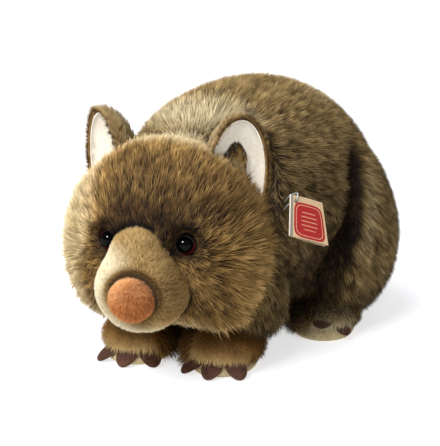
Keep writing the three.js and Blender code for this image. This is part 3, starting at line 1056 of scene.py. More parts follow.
@dataclass
class Hide:
    """The long-pile skin of body, head, legs and tail, and the coat on it. Lengths are millimetres."""

    forms: Forms
    cloths: Cloths
    markings: Markings = Markings()
    depth: float = 5.0
    tail_depth: float = 3.5
    voxel: float = 1.9
    gap: float = 1.0
    head_gap: float = 1.05
    under_gaps: tuple[float, float] = (0.64, 0.9)
    face_pile: float = 4.8
    head_pile: float = 6.2
    cheek_pile: float = 5.0
    brow_pile: float = 3.4
    chin_pile: float = 3.0
    body_pile: float = 8.2
    leg_pile: float = 8.8
    chest_pile: float = 8.0
    crease_depth: float = 10.5
    hollow_depth: float = 6.0
    ear_room: float = 13.0
    skin: bpy.types.Object | None = None

    CREASE_HEIGHTS = (30, 41, 52, 63, 76, 88, 97, 106, 114, 122)
    CREASE_PLACES = (45.2, 44, 46, 49, 52.5, 55.5, 57, 60, 65, 68)
    SHADE_HEIGHTS = (22, 40, 63, 88, 106)
    SHADE_WIDTHS = (46, 42, 27, 20, 16)
    BEHIND_EAR = (44, -17, 124)
    SHORT = Pile(
        segments=1, clump=0.0026, gather=0.28, swing=8, stray=10, fleck=0.22, soft=1.1, patchy=0.24, dull=0.2
    )
    RUFF = Pile(
        segments=2, clump=0.0024, gather=0.32, swing=8, stray=9, fleck=0.18, soft=1.3, patchy=0.19, dull=0.3
    )
    UNDER = Pile(
        segments=1, clump=0.0022, gather=0.36, swing=8, stray=9, fleck=0.2, soft=1.25, patchy=0.18, dull=0.3
    )

    def by_region(self) -> list[Form]:
        """The forms in the order of the regions."""
        f = self.forms
        return [
            f.torso,
            f.head,
            f.haunches[Side.LEFT],
            f.haunches[Side.RIGHT],
            f.forelegs[Side.LEFT],
            f.forelegs[Side.RIGHT],
            f.tail,
        ]

    def eye_distance(self, points: Array) -> Array:
        """How far each point is from the nearer eye."""
        eyes = [np.array(self.forms.eye_place(side).translation) for side in Side]
        return np.min([np.linalg.norm(points - eye, axis=1) for eye in eyes], axis=0)

    def head_depth(self, points: Array) -> Array:
        """The depth of the pile on the head: shallow at the face, deep on the cheeks."""
        face = np.minimum(self.forms.muzzle.distance(points), self.eye_distance(points) - 0.006)
        return (2.4 + 3.4 * ease(face, 0.0, 0.03)) * MM

    def build(self) -> None:
        """Makes one closed skin under the pile."""
        pieces = []
        for region, form in zip(Region, self.by_region()):
            if region is Region.HEAD:
                depth, detail = self.head_depth, 6
            elif region is Region.BODY:
                depth, detail = self.depth * MM, 6
            elif region is Region.TAIL:
                depth, detail = self.tail_depth * MM, 4
            else:
                depth, detail = self.depth * MM, 5
            pieces.append(ball(form, detail, depth))
        clear()
        for piece in pieces:
            piece.select_set(True)
        bpy.context.view_layer.objects.active = pieces[0]
        bpy.ops.object.join()
        skin = bpy.context.object
        apply(skin, "REMESH", mode="VOXEL", voxel_size=self.voxel * MM)
        apply(skin, "SMOOTH", factor=0.5, iterations=4)
        settle(skin, self.carve(vertices(skin)))
        self.skin = smooth(skin)

    def carve(self, points: Array) -> Array:
        """Sinks the eyes' sockets, the creases before the haunches and the room behind the ears.

        Args:
            points: the skin's vertices.

        Returns:
            Where they go.
        """
        points = points.copy()
        for side in Side:
            matrix = np.array(self.forms.eye_place(side))
            local = (points - matrix[:3, 3]) @ matrix[:3, :3]
            pull = 1 - ease(np.hypot(local[:, 0], local[:, 2]), 0.0062, 0.0105)
            sunk = np.maximum(local[:, 1], 0.0024)
            pull = np.where(np.abs(local[:, 1]) < 0.02, pull, 0.0)
            local[:, 1] = local[:, 1] + (sunk - local[:, 1]) * pull
            points = local @ matrix[:3, :3].T + matrix[:3, 3]
        crease = np.exp(-(((self.past_crease(points) + 1) / 5.5) ** 2)) * self.sewn(points)
        sunk = np.maximum(self.crease_depth * crease, self.hollow_depth * self.tuck(points))
        for side in Side:
            inside = 1 - ease(self.forms.ears[side].distance(points), -0.001, 0.004)
            sunk += self.ear_room * inside * self.behind_head(points)
        return points - unit(self.forms.torso.slope(points)) * (sunk * MM)[:, None]

    def behind_head(self, points: Array) -> Array:
        """1 where points are nearer to the torso than to the head, else 0."""
        return (self.forms.torso.distance(points) < self.forms.head.distance(points)).astype(float)

    def tuck(self, points: Array) -> Array:
        """How near points are to the hollow of the belly between a foreleg and a haunch, from 0 to 1."""
        local = self.forms.torso.local(points) / MM
        x, y, z = np.abs(local[:, 0]), local[:, 1], local[:, 2]
        behind = ease(y - 8 - 0.35 * (z - 54), -1, 7)
        return behind * (1 - ease(y, 49, 60)) * (1 - ease(z, 62, 86)) * ease(x, 16, 34)

    def past_crease(self, points: Array) -> Array:
        """How far points are behind the crease where a haunch is sewn to the flank, in millimetres."""
        local = self.forms.torso.local(points) / MM
        return local[:, 1] - np.interp(local[:, 2], self.CREASE_HEIGHTS, self.CREASE_PLACES)

    def sewn(self, points: Array) -> Array:
        """How near points are to the height and side of that crease, from 0 to 1."""
        across, _, height = (self.forms.torso.local(points) / MM).T
        return ease(height, 18, 34) * (1 - ease(height, 106, 126)) * ease(np.abs(across), 36, 50)

    def shaded(self, points: Array) -> Array:
        """How dark the pile is painted round that crease, as shade, from 0 to 1."""
        past = self.past_crease(points)
        height = self.forms.torso.local(points)[:, 2] / MM
        wide = np.interp(height, self.SHADE_HEIGHTS, self.SHADE_WIDTHS)
        return ease(past, -wide, -0.45 * wide) * (1 - ease(past, 4.5, 10)) * self.sewn(points)

    def nearest(self, points: Array) -> tuple[Array, Array]:
        """The region of each point, and its distance from each form."""
        values = np.stack([form.distance(points) for form in self.by_region()], 1)
        return values.argmin(1), values

    def on_head(self, values: Array) -> Array:
        """How far roots with these distances belong to the head, from 0 to 1."""
        return np.exp(-(values[:, Region.HEAD.value] - values.min(1)) / (3 * MM))

    def lie(self, points: Array, normals: Array, values: Array) -> Array:
        """Which way the pile lies.

        Args:
            points: places on the skin.
            normals: the skin's directions there.
            values: distances from each form.

        Returns:
            Directions along the skin.
        """
        up = normals[:, 2]
        zero, one = np.zeros(len(points)), np.ones(len(points))
        each = [np.stack([zero, one, -(0.12 + 1.5 * np.clip(1 - up, 0, 1))], 1)]
        each.append(self.head_lie(points))
        for sign in (1, -1):
            each.append(np.stack([0.12 * sign * one, 0.38 * one, -one], 1))
        for sign in (1, -1):
            each.append(np.stack([0.1 * sign * one, -0.12 * one, -one], 1))
        each.append(np.stack([zero, one, -0.6 * one], 1))
        weight = np.exp((values.min(1, keepdims=True) - values) / (2.5 * MM))
        weight /= weight.sum(1, keepdims=True)
        total = sum(tangent(v, normals) * weight[:, k : k + 1] for k, v in enumerate(each))
        return tangent(total, normals)

    def head_lie(self, points: Array) -> Array:
        """The pile's direction on the head: away from the muzzle and eyes, drooping on the cheeks."""
        local = self.forms.head.local(points)
        low = ease(-local[:, 2], -0.012, 0.02)
        outwards = np.stack([local[:, 0] * 6, np.full(len(points), 0.8), 0.6 - 0.95 * low], 1)
        for side in Side:
            eye = np.array(self.forms.EYE) * MM * (side.value, 1, 1)
            away = local - eye
            near = 1 - ease(np.linalg.norm(away, axis=1), 0.006, 0.02)
            outwards += unit(away) * (1.2 * near)[:, None]
        return outwards @ self.forms.head.axes.T

    def measure(self, roots: Roots) -> None:
        """Gives every root its lie, length, lift, width, marking and tone."""
        region, values = self.nearest(roots.place)
        head = self.on_head(values)
        leg = region >= Region.HAUNCH_LEFT.value
        chest = self.between_legs(roots.place)
        across, _, height = self.forms.head.local(roots.place).T
        muzzle = self.forms.muzzle.distance(roots.place)
        face = np.minimum(muzzle, self.eye_distance(roots.place) - 0.0065)
        cheek = ease(np.abs(across), 0.016, 0.036) * ease(-height, -0.035, -0.005)
        brow = (1 - ease(muzzle, 0.002, 0.012)) * ease(height, -0.012, 0.002)
        on_head = self.face_pile + self.head_pile * ease(face, 0.0, 0.02)
        on_head = on_head + self.cheek_pile * cheek * ease(face, 0.004, 0.02)
        on_head = on_head + self.brow_pile * brow + self.chin_pile * ease(-height, 0.02, 0.045)
        on_body = np.where(leg, self.leg_pile, self.body_pile - 2.0 * ease(-roots.normal[:, 2], 0.2, 0.8))
        on_body = on_body * (1 - 0.4 * self.shaded(roots.place)) + self.chest_pile * chest
        length = (on_head * head + on_body * (1 - head)) * MM
        roots.length = length * (1 + 0.12 * waves(roots.place, 0.03, 3))
        head_depth = self.head_depth(roots.place + roots.normal * 0.004)
        depth = head_depth * head + self.depth * MM * (1 - head)
        roots.lift = np.arcsin(np.clip(depth / roots.length, 0.25, 0.8)) * np.where(leg, 0.85, 1.0)
        fluff = cheek * ease(face, 0.008, 0.024) * np.where(across > 0, 0.4, 0.12)
        roots.lift += head * (brow * 0.35 + fluff) + 0.6 * chest * (1 - head)
        roots.width = np.clip(roots.length * 0.05, 0.0004, 0.00062)
        roots.mark = self.marks(roots.place, roots.normal, head)
        drift = 0.14 * waves(roots.place, 0.012, 5) + 0.1 * waves(roots.place, 0.05, 6)
        drift += 0.16 * waves(roots.place, 0.005, 7)
        roots.tone = np.clip(0.5 + drift, 0, 1)
        roots.lie = self.lie(roots.place, roots.normal, values)

    def between_legs(self, points: Array) -> Array:
        """How near points are to the gap between the forelegs, under the chest, from 0 to 1."""
        local = self.forms.torso.local(points) / MM
        inside = 1 - ease(np.abs(local[:, 0]), 15, 21)
        return inside * (1 - ease(np.abs(local[:, 1] + 12), 20, 32)) * (1 - ease(local[:, 2], 44, 56))

    def marks(self, points: Array, normals: Array, head: Array) -> Array:
        """How dark or pale the pile is, its own colour with painted light and shade: 0 dark, 0.5 as most of
        it, 1 pale.
        """
        mark = 0.5 + 0.05 * waves(points, 0.05, 8)
        mark += self.body_marks(points, normals) * (1 - head)
        mark += head * self.head_marks(points)
        # painted shade at the seam where head and torso meet, on the left behind the head
        past_head, past_torso = self.forms.head.distance(points), self.forms.torso.distance(points)
        near = (1 - ease(np.abs(past_head - past_torso), 0.001, 0.009)) * ease(past_torso, -0.012, -0.004)
        height = self.forms.torso.local(points)[:, 2] / MM
        seam = self.markings.seam * near * (1 - 0.8 * head)
        return np.clip(mark + seam * ease(points[:, 0], 0.0, 0.03) * ease(height, 88, 104), 0, 1)

    def body_marks(self, points: Array, normals: Array) -> Array:
        """The marking of body and legs, nearly all of it painted light and shade: painted light on the nape
        where it faces up and on a streak along the haunch's front edge, and painted shade on the sides,
        belly, neck, haunch, rump, creases, hollows, chest and behind the ear.
        """
        m = self.markings
        place = self.forms.torso.local(points) / MM
        across, along, height = np.abs(place[:, 0]), place[:, 1], place[:, 2]
        near_head = self.forms.head.distance(points)
        past = self.past_crease(points)
        haunch = ease(past, 5, 12) * ease(across, 30, 44) * (1 - ease(height, 112, 134))
        # painted shade on the belly, which faces down, and on the sides as they turn from the top
        belly = ease(-normals[:, 2], 0.0, 0.6)
        side = (1 - ease(normals[:, 2], 0.42, 0.88)) * (1 - haunch)
        # painted light on the nape where it faces up behind the head, and painted shade on the neck's sides
        nape = (1 - ease(near_head, 0.006, 0.036)) * ease(normals[:, 2], 0.5, 0.8)
        neck = (1 - ease(near_head, 0.006, 0.03)) * side * ease(height, 92, 108)
        # painted light on a streak along the haunch's front edge
        streak = haunch * (1 - ease(past, 14, 27)) * self.sewn(points)
        # painted shadow behind the ear, and painted shade towards the rump
        behind_ear = 1 - ease(np.linalg.norm(place - self.BEHIND_EAR, axis=1), 5, 14)
        rump = ease(along, 80, 120)
        # the haunch too is painted a little darker as shade
        change = m.nape * nape + m.belly * belly + m.side * side + m.neck * neck
        change += m.streak * streak + m.haunch * haunch + m.rump * rump + m.behind_ear * behind_ear
        # painted shade in the belly's hollow, round the crease before the haunch and between the forelegs
        dim = np.minimum(m.hollow * self.tuck(points), m.crease * self.shaded(points))
        return change + np.minimum(dim, m.chest * self.between_legs(points))

    def head_marks(self, points: Array) -> Array:
        """The marking of the head: a crown and right cheek paler with painted light, a pale chin, a brow and
        eyes darkened partly by dark pile and partly by painted shade, a dark forehead, and a left cheek
        painted darker as shade.
        """
        m = self.markings
        across, along, height = self.forms.head.local(points).T
        muzzle = self.forms.muzzle.distance(points)
        # dark pile over the brow and round the eyes, with painted shade under the brow and in the sockets
        brow = (1 - ease(np.abs(across), 0.014, 0.03)) * (1 - ease(height, 0.012, 0.03))
        brow *= (1 - ease(muzzle, 0.002, 0.014)) * ease(height, -0.004, 0.004)
        eyes = 1 - ease(self.eye_distance(points), 0.006, 0.013)
        dark = np.clip(m.brow * brow + m.eyes * eyes, -0.5, 0)
        right = ease(-across, 0.014, 0.046)
        # painted light on the crown and on the right cheek, which face the lamp
        crown = m.crown * ease(height, 0.028, 0.05) * ease(along, -0.03, -0.004)
        right_cheek = m.right_cheek * right * ease(muzzle, 0.004, 0.014)
        forehead = m.forehead * ease(height, 0.004, 0.014) * ease(-along, 0.0, 0.014) * (1 - right)
        # painted shade on the left cheek, away from the lamp
        left_cheek = m.left_cheek * ease(across, 0.02, 0.04) * (1 - ease(height, 0.0, 0.02))
        chin = m.chin * ease(-height, 0.036, 0.048) * (1 - right)
        return crown + right_cheek + chin + dark + forehead + left_cheek

    def bare(self, points: Array) -> Array:
        """Where no long pile grows: under the muzzle, the feet, the ears' roots and the eyes."""
        covered = self.forms.muzzle.distance(points) < -0.0006
        for side in Side:
            covered |= self.forms.eye_off_axis(side, points) < 0.0052
            covered |= (self.forms.ears[side].distance(points) < 0.0015) & (self.behind_head(points) > 0)
        return covered

    def spacing(self, points: Array, normals: Array, under: bool) -> Array:
        """The distance between roots, in metres, of the long pile or of the finer pile under it."""
        region, _ = self.nearest(points)
        head_closer, closer = self.under_gaps if under else (1.0, 1.0)
        face = self.forms.muzzle.distance(points)
        on_head = self.head_gap * head_closer * MM * (0.78 + 0.22 * ease(face, 0.004, 0.02))
        gap = np.where(region == Region.HEAD.value, on_head, self.gap * closer * MM)
        gap = gap * (1 + 0.35 * ease(-normals[:, 2], 0.5, 0.9))
        return np.where(self.bare(points), 0.0, gap)

    def dress(self) -> None:
        """Dresses the skin and grows the coat."""
        points = vertices(self.skin)
        normals = unit(self.forms.torso.slope(points))
        _, values = self.nearest(points)
        # the skin under the pile carries the same marking, with its painted light and shade
        mark = self.marks(points, normals, self.on_head(values))
        write_pile(self.skin, np.full(len(points), 0.12), np.full(len(points), 0.5), mark)
        nodes = ["torso", "head", "tail"]
        nodes += [f"{leg}_{side.word}" for leg in ("hindleg", "foreleg") for side in Side]
        dress(self.skin, "plush_skin", self.cloths.fur, "body_fur", *nodes)
        for layer in ("coat", "under"):
            self.cover(layer)

    def cover(self, layer: str) -> None:
        """Grows one layer of the coat, region by region: the "coat", or the finer pile "under" it."""
        under = layer == "under"
        roots = scatter(self.skin, lambda p, n: self.spacing(p, n, under), SEED + (60 if under else 100))
        roots = roots.keep(~self.bare(roots.place))
        self.measure(roots)
        if under:
            roots.length = roots.length * 0.8
            roots.width = roots.width * 0.85
        belongs, _ = self.nearest(roots.place)
        LOG.info("%s: %d roots", layer, len(roots))
        for region, form in zip(Region, self.by_region()):
            pile, cloth, parts = self.SHORT, self.cloths.fur, 1
            if region is Region.HEAD:
                pile, cloth = self.UNDER if under else self.RUFF, self.cloths.mane
            if region is Region.BODY:
                parts = 2
            some = roots.keep(belongs == region.value)
            name = f"{layer}_{region.name.lower()}"
            pile.coat(name, some, form, cloth, "body_fur", SEED + region.value, parts)


# The face


@dataclass
class Muzzle:
    """The muzzle and the nose ball, both in short pile."""

    forms: Forms
    cloths: Cloths
    depth: float = 1.7
    length: float = 3.2
    nose_depth: float = 2.1
    nose_length: float = 2.4
    gap: float = 0.44
    nose_gap: float = 0.4
    groove: float = 3.0

    def build(self) -> None:
        """Makes the two skins, with the muzzle drawn in round the nose ball."""
        skin = ball(self.forms.muzzle, 6, self.depth * MM)
        points = vertices(skin)
        near = 1 - ease(np.abs(self.forms.nose.distance(points)), 0.001, 0.006)
        inwards = unit(self.forms.muzzle.slope(points)) * (self.groove * MM * near)[:, None]
        settle(skin, points - inwards)
        self.skin = smooth(skin)
        self.ball = smooth(ball(self.forms.nose, 5, self.nose_depth * MM))

    def marks(self, points: Array) -> Array:
        """The muzzle's marking: cream in front and below, golden on top, and browner towards its left side,
        partly its own colour and partly painted shade away from the lamp, with a ring of painted shade in
        the groove round the nose.
        """
        local = self.forms.muzzle.local(points) / MM
        low = 1 - 0.75 * ease(-local[:, 2], 36, 48)
        # browner towards its left side: partly the plush's own colour and partly painted shade
        side = ease(local[:, 0], -17, 6) * low
        top = ease(local[:, 2], -8, 8)
        mark = 0.9 - 0.42 * side - 0.28 * ease(local[:, 0], 6, 22) * low - 0.5 * top * (1 - side)
        # painted shade in the groove round the nose, heaviest above it
        ring = 1 - ease(self.forms.nose.distance(points), 0.0008, 0.0042)
        mark -= 0.8 * ring * (0.15 + 0.85 * ease(local[:, 2], -36, -18))
        return np.clip(mark + 0.05 * waves(points, 0.012, 21), 0.04, 1)

    def nose_marks(self, points: Array) -> Array:
        """The nose ball's marking: painted light, paler towards its top and its right side, where the lamp
        falls.
        """
        local = self.forms.nose.local(points) / MM
        pale = 0.5 * ease(local[:, 2], -28, -14) + 0.2 * ease(-local[:, 0], -2, 10)
        return np.clip(0.36 + pale + 0.08 * waves(points, 0.008, 22), 0, 1)

    def cover(
        self, name: str, form: Form, roots: Roots, material: bpy.types.Material, mark: Array
    ) -> None:
        """Grows short pile that leans away from the middle of the nose.

        Args:
            name: what it covers.
            form: the form under it.
            roots: where it grows, with its length, lift and width.
            material: its finish.
            mark: its marking, with the light and shade painted into it.
        """
        middle = self.forms.nose.world(self.forms.nose.middles[0][None])[0]
        away = roots.place - middle
        if name == "nose":
            away = away * 0.6 + self.forms.nose.axes @ np.array([0.0, 0.002, -0.006])
        drift = np.stack([waves(roots.place, 0.014, k) for k in (1, 2, 3)], 1)
        roots.lie = tangent(unit(away) + 0.22 * drift, roots.normal)
        roots.mark = mark
        roots.tone = np.clip(0.5 + 0.2 * waves(roots.place, 0.004, 9), 0, 1)
        pile = Pile(segments=1, clump=0.0016, gather=0.3, swing=10, stray=8, sunk=0.0002, fleck=0.1)
        pile.coat(f"coat_{name}", roots, form, material, f"{name}_pile", SEED + 40)

    def dress(self) -> None:
        """Dresses and covers both."""
        for name, skin, form, material, marks in (
            ("muzzle", self.skin, self.forms.muzzle, self.cloths.muzzle, self.marks),
            ("nose", self.ball, self.forms.nose, self.cloths.nose, self.nose_marks),
        ):
            points = vertices(skin)
            write_pile(skin, np.full(len(points), 0.12), np.full(len(points), 0.4), marks(points))
            dress(skin, f"{name}_skin", material, f"{name}_pile", name)
        roots = scatter(self.skin, lambda p, n: np.full(len(p), self.gap * MM), SEED + 30)
        inside = self.forms.nose.distance(roots.place) < 0.0004
        roots = roots.keep(~inside & (self.forms.head.distance(roots.place) > -0.009))
        edge = ease(self.forms.head.distance(roots.place), -0.002, 0.012)
        rim = 1 - ease(self.forms.nose.distance(roots.place), 0.001, 0.005)
        under = ease(-self.forms.muzzle.local(roots.place)[:, 2], 0.038, 0.047)
        roots.length = (self.length - 0.9 * edge - 0.6 * rim + 1.6 * under) * MM
        roots.lift = np.radians(30 + 14 * rim)
        roots.width = np.full(len(roots), 0.42 * MM)
        self.cover("muzzle", self.forms.muzzle, roots, self.cloths.muzzle, self.marks(roots.place))
        roots = scatter(self.ball, lambda p, n: np.full(len(p), self.nose_gap * MM), SEED + 31)
        roots = roots.keep(self.forms.muzzle.distance(roots.place) > -0.006)
        roots.length = np.full(len(roots), self.nose_length * MM)
        roots.lift = np.full(len(roots), math.radians(42))
        roots.width = np.full(len(roots), 0.34 * MM)
        self.cover("nose", self.forms.nose, roots, self.cloths.nose, self.nose_marks(roots.place))


@dataclass
class Eye:
    """A domed glass button on a black rim, with a scrap of red felt behind it.

    The felt's shift is how far it sits outwards and up from the button, in millimetres.
    """

    forms: Forms
    cloths: Cloths
    side: Side
    felt: float
    felt_shift: tuple[float, float]
    radius: float = 4.7
    height: float = 4.2
    rim: float = 0.7
    felt_depth: float = 1.2

    def build(self) -> None:
        """Makes the dome, the rim and the felt."""
        place = self.forms.eye_place(self.side)
        dome = sphere(40, 24)
        settle(dome, vertices(dome) * np.array([self.radius, self.height, self.radius]) * MM)
        cut(dome, (0, 0.4 * MM, 0), (0, 1, 0), fill=True)
        self.dome = smooth(carry(dome, place))
        clear()
        bpy.ops.mesh.primitive_torus_add(
            major_radius=self.radius * MM,
            minor_radius=self.rim * MM,
            major_segments=48,
            minor_segments=12,
            location=(0, 0, 0),
        )
        ring = bpy.context.object
        ring.data.transform(turn("X", 90))
        ring.data.transform(shift((0, self.rim, 0)))
        self.ring = smooth(carry(ring, place))
        clear()
        bpy.ops.mesh.primitive_cylinder_add(
            vertices=48, radius=self.felt * MM, depth=self.felt_depth * MM, location=(0, 0, 0)
        )
        felt = bpy.context.object
        felt.data.transform(turn("X", 90))
        points = vertices(felt)
        points += np.array([self.felt_shift[0] * self.side.value, 2.2, self.felt_shift[1]]) * MM
        settle(felt, points)
        apply(felt, "BEVEL", width=0.35 * MM, segments=2, limit_method="ANGLE")
        self.patch = smooth(carry(felt, place))

    def dress(self) -> None:
        """Dresses the three pieces."""
        word = self.side.word
        dress(self.dome, f"eye_dome_{word}", self.cloths.glass, "eye_black", f"eye_{word}")
        dress(self.ring, f"eye_ring_{word}", self.cloths.rim, "rim_black", f"eye_rim_{word}")
        dress(self.patch, f"eye_patch_{word}", self.cloths.red_felt, "red_felt", f"eye_felt_{word}")


@dataclass
class Ear:
    """A plush cup with a cream felt lining and a tuft of pile in its hollow."""

    forms: Forms
    cloths: Cloths
    side: Side
    lining_radii: tuple[float, float, float] = (17.8, 7.0, 37.1)
    depth: float = 2.5
    wall: float = 1.0
    felt: float = 0.9
    front: float = -1.4
    lining_front: float = -0.3
    back_gap: float = 0.74
    edge_gap: float = 0.38
    lining_gap: float = 0.55
    tuft_width: float = 8.4
    tuft_top: float = 24.0

    EDGE = -0.35

    def shell(self, radii: Sequence[float], front: float, wall: float) -> bpy.types.Object:
        """One cup: an ellipsoid cut open in front and given a wall inwards.

        Args:
            radii: its outer radii in millimetres.
            front: where it is cut open.
            wall: its thickness.

        Returns:
            The new object, in the ear's own frame.
        """
        cup = sphere(56, 36)
        settle(cup, vertices(cup) * np.array(radii) * MM)
        cut(cup, (0, front * MM, 0), (0, -1, 0), fill=False)
        apply(cup, "SOLIDIFY", thickness=wall * MM, offset=-1.0)
        apply(cup, "BEVEL", width=0.35 * MM, segments=2, limit_method="ANGLE", angle_limit=math.radians(50))
        return cup

    def build(self) -> None:
        """Makes the cup and its lining."""
        place = self.forms.ear_place(self.side)
        self.form = self.forms.ears[self.side]
        cloth = [radius - self.depth for radius in self.forms.EAR_RADII]
        self.cup = smooth(carry(self.shell(cloth, self.front, self.wall), place))
        self.lining = smooth(carry(self.shell(self.lining_radii, self.lining_front, self.felt), place))

    def dress(self) -> None:
        """Dresses both and covers the back of the ear with pile."""
        word = self.side.word
        points = vertices(self.cup)
        write_pile(self.cup, np.full(len(points), 0.75), np.full(len(points), 0.5), np.full(len(points), 0.5))
        dress(self.cup, f"ear_back_{word}", self.cloths.mane, "body_fur", f"ear_{word}")
        dress(self.lining, f"ear_inside_{word}", self.cloths.ear_felt, "ear_felt", f"ear_lining_{word}")
        self.cover_back(word)
        self.cover_lining(word)

    def finish_roots(
        self, roots: Roots, lie: Array, length: float, lift: float, width: float, mark: float
    ) -> None:
        """Gives roots one look all over.

        Args:
            roots: the roots.
            lie: directions in the ear's frame.
            length: in millimetres.
            lift: in degrees.
            width: in millimetres.
            mark: the marking, before its drift.
        """
        roots.lie = tangent(lie @ self.form.axes.T, roots.normal)
        roots.length = length * MM * (1 + 0.1 * waves(roots.place, 0.01, 11))
        roots.lift = np.full(len(roots), math.radians(lift))
        roots.width = np.full(len(roots), width * MM)
        roots.mark = np.clip(mark + 0.1 * waves(roots.place, 0.02, 12), 0, 1)
        roots.tone = np.clip(0.5 + 0.15 * waves(roots.place, 0.006, 13), 0, 1)

    def cover_back(self, word: str) -> None:
        """Covers the back and the edge of the cup, where the pile turns outwards."""
        ahead = self.form.axes[:, 1]

        def spacing(points: Array, normals: Array) -> Array:
            """The distance between roots, closer on the edge."""
            return np.where(normals @ ahead < self.EDGE, self.edge_gap, self.back_gap) * MM

        roots = scatter(self.cup, spacing, SEED + 60)
        outer = self.form.distance(roots.place) > -(self.depth + 0.9) * MM
        outwards = (roots.normal * unit(self.form.slope(roots.place))).sum(1) > -0.1
        edge = roots.normal @ ahead < self.EDGE
        kept = (outer & outwards | edge) & (self.forms.head.distance(roots.place) > -0.006)
        roots, edge = roots.keep(kept), edge[kept]
        local = self.form.local(roots.place)
        turned = np.where(np.arange(len(roots)) % 3 == 0, -1.0, 1.0)
        flat = local / (self.form.radii[0] * np.array([1, 1e3, 1]))
        front = 1 - ease(local[:, 1], 0.0, 0.006)
        lie = np.stack([flat[:, 0] * 0.9, 0.25 - 0.5 * front, 0.45 + 0.5 * flat[:, 2]], 1)
        radial = np.stack([local[:, 0], np.zeros(len(roots)), 0.25 * local[:, 2]], 1)
        lie = np.where(edge[:, None], unit(radial) * turned[:, None], lie)
        self.finish_roots(roots, lie, 5.6, 27, 0.5, 0.7)
        roots.length = np.where(edge, (2.4 + 0.8 * turned) * MM, roots.length)
        roots.lift = np.where(edge, 0.7, roots.lift)
        roots.mark = roots.mark - 0.25 * edge
        pile = Pile(segments=1, clump=0.002, gather=0.2, swing=9, stray=9)
        pile.coat(f"coat_ear_{word}", roots, self.form, self.cloths.mane, "body_fur", SEED + 61)

    def cover_lining(self, word: str) -> None:
        """Gives the felt its nap, and the hollow its tuft of golden pile with painted shade along its top."""
        roots = scatter(self.lining, lambda p, n: np.full(len(p), self.lining_gap * MM), SEED + 62)
        local = self.form.local(roots.place)
        inwards = (roots.normal * unit(self.form.slope(roots.place))).sum(1) < 0.3
        nap = roots.keep(inwards & (self.forms.head.distance(roots.place) > 0.0))
        count = len(nap)
        self.finish_roots(nap, np.tile([0.0, 0.0, 1.0], (count, 1)), 1.2, 42, 0.34, 0.97)
        pile = Pile(segments=1, clump=0.002, gather=0.2, swing=25, stray=20, sunk=0.0002)
        pile.coat(f"nap_ear_{word}", nap, self.form, self.cloths.ear_nap, "ear_felt", SEED + 63)
        top = self.tuft_top * MM
        off = np.hypot(local[:, 0] / (self.tuft_width * MM), np.maximum(local[:, 2] - top + 0.02, 0) / 0.02)
        low = inwards & (local[:, 2] > -0.026) & (off < 1)
        tuft = roots.keep(low)
        across = local[low, 0] * self.side.value
        # painted shade along the top of the tuft, under the lining; the tuft is also shorter there
        high = ease(off[low], 0.6, 0.8) * (1 - ease(across, -0.0005, 0.003)) * (top > 10 * MM)
        lie = np.tile([-0.45 * self.side.value, -0.3, -1.0], (len(tuft), 1))
        self.finish_roots(tuft, lie, 7.0, 34, 0.46, 0.6)
        tuft.mark = np.maximum(tuft.mark - 0.62 * high, 0.0)
        tuft.length = tuft.length * (1 - 0.6 * high)
        pile = Pile(segments=2, clump=0.0024, gather=0.4, swing=12, stray=9)
        pile.coat(f"tuft_ear_{word}", tuft, self.form, self.cloths.mane, "body_fur", SEED + 64)


# Feet


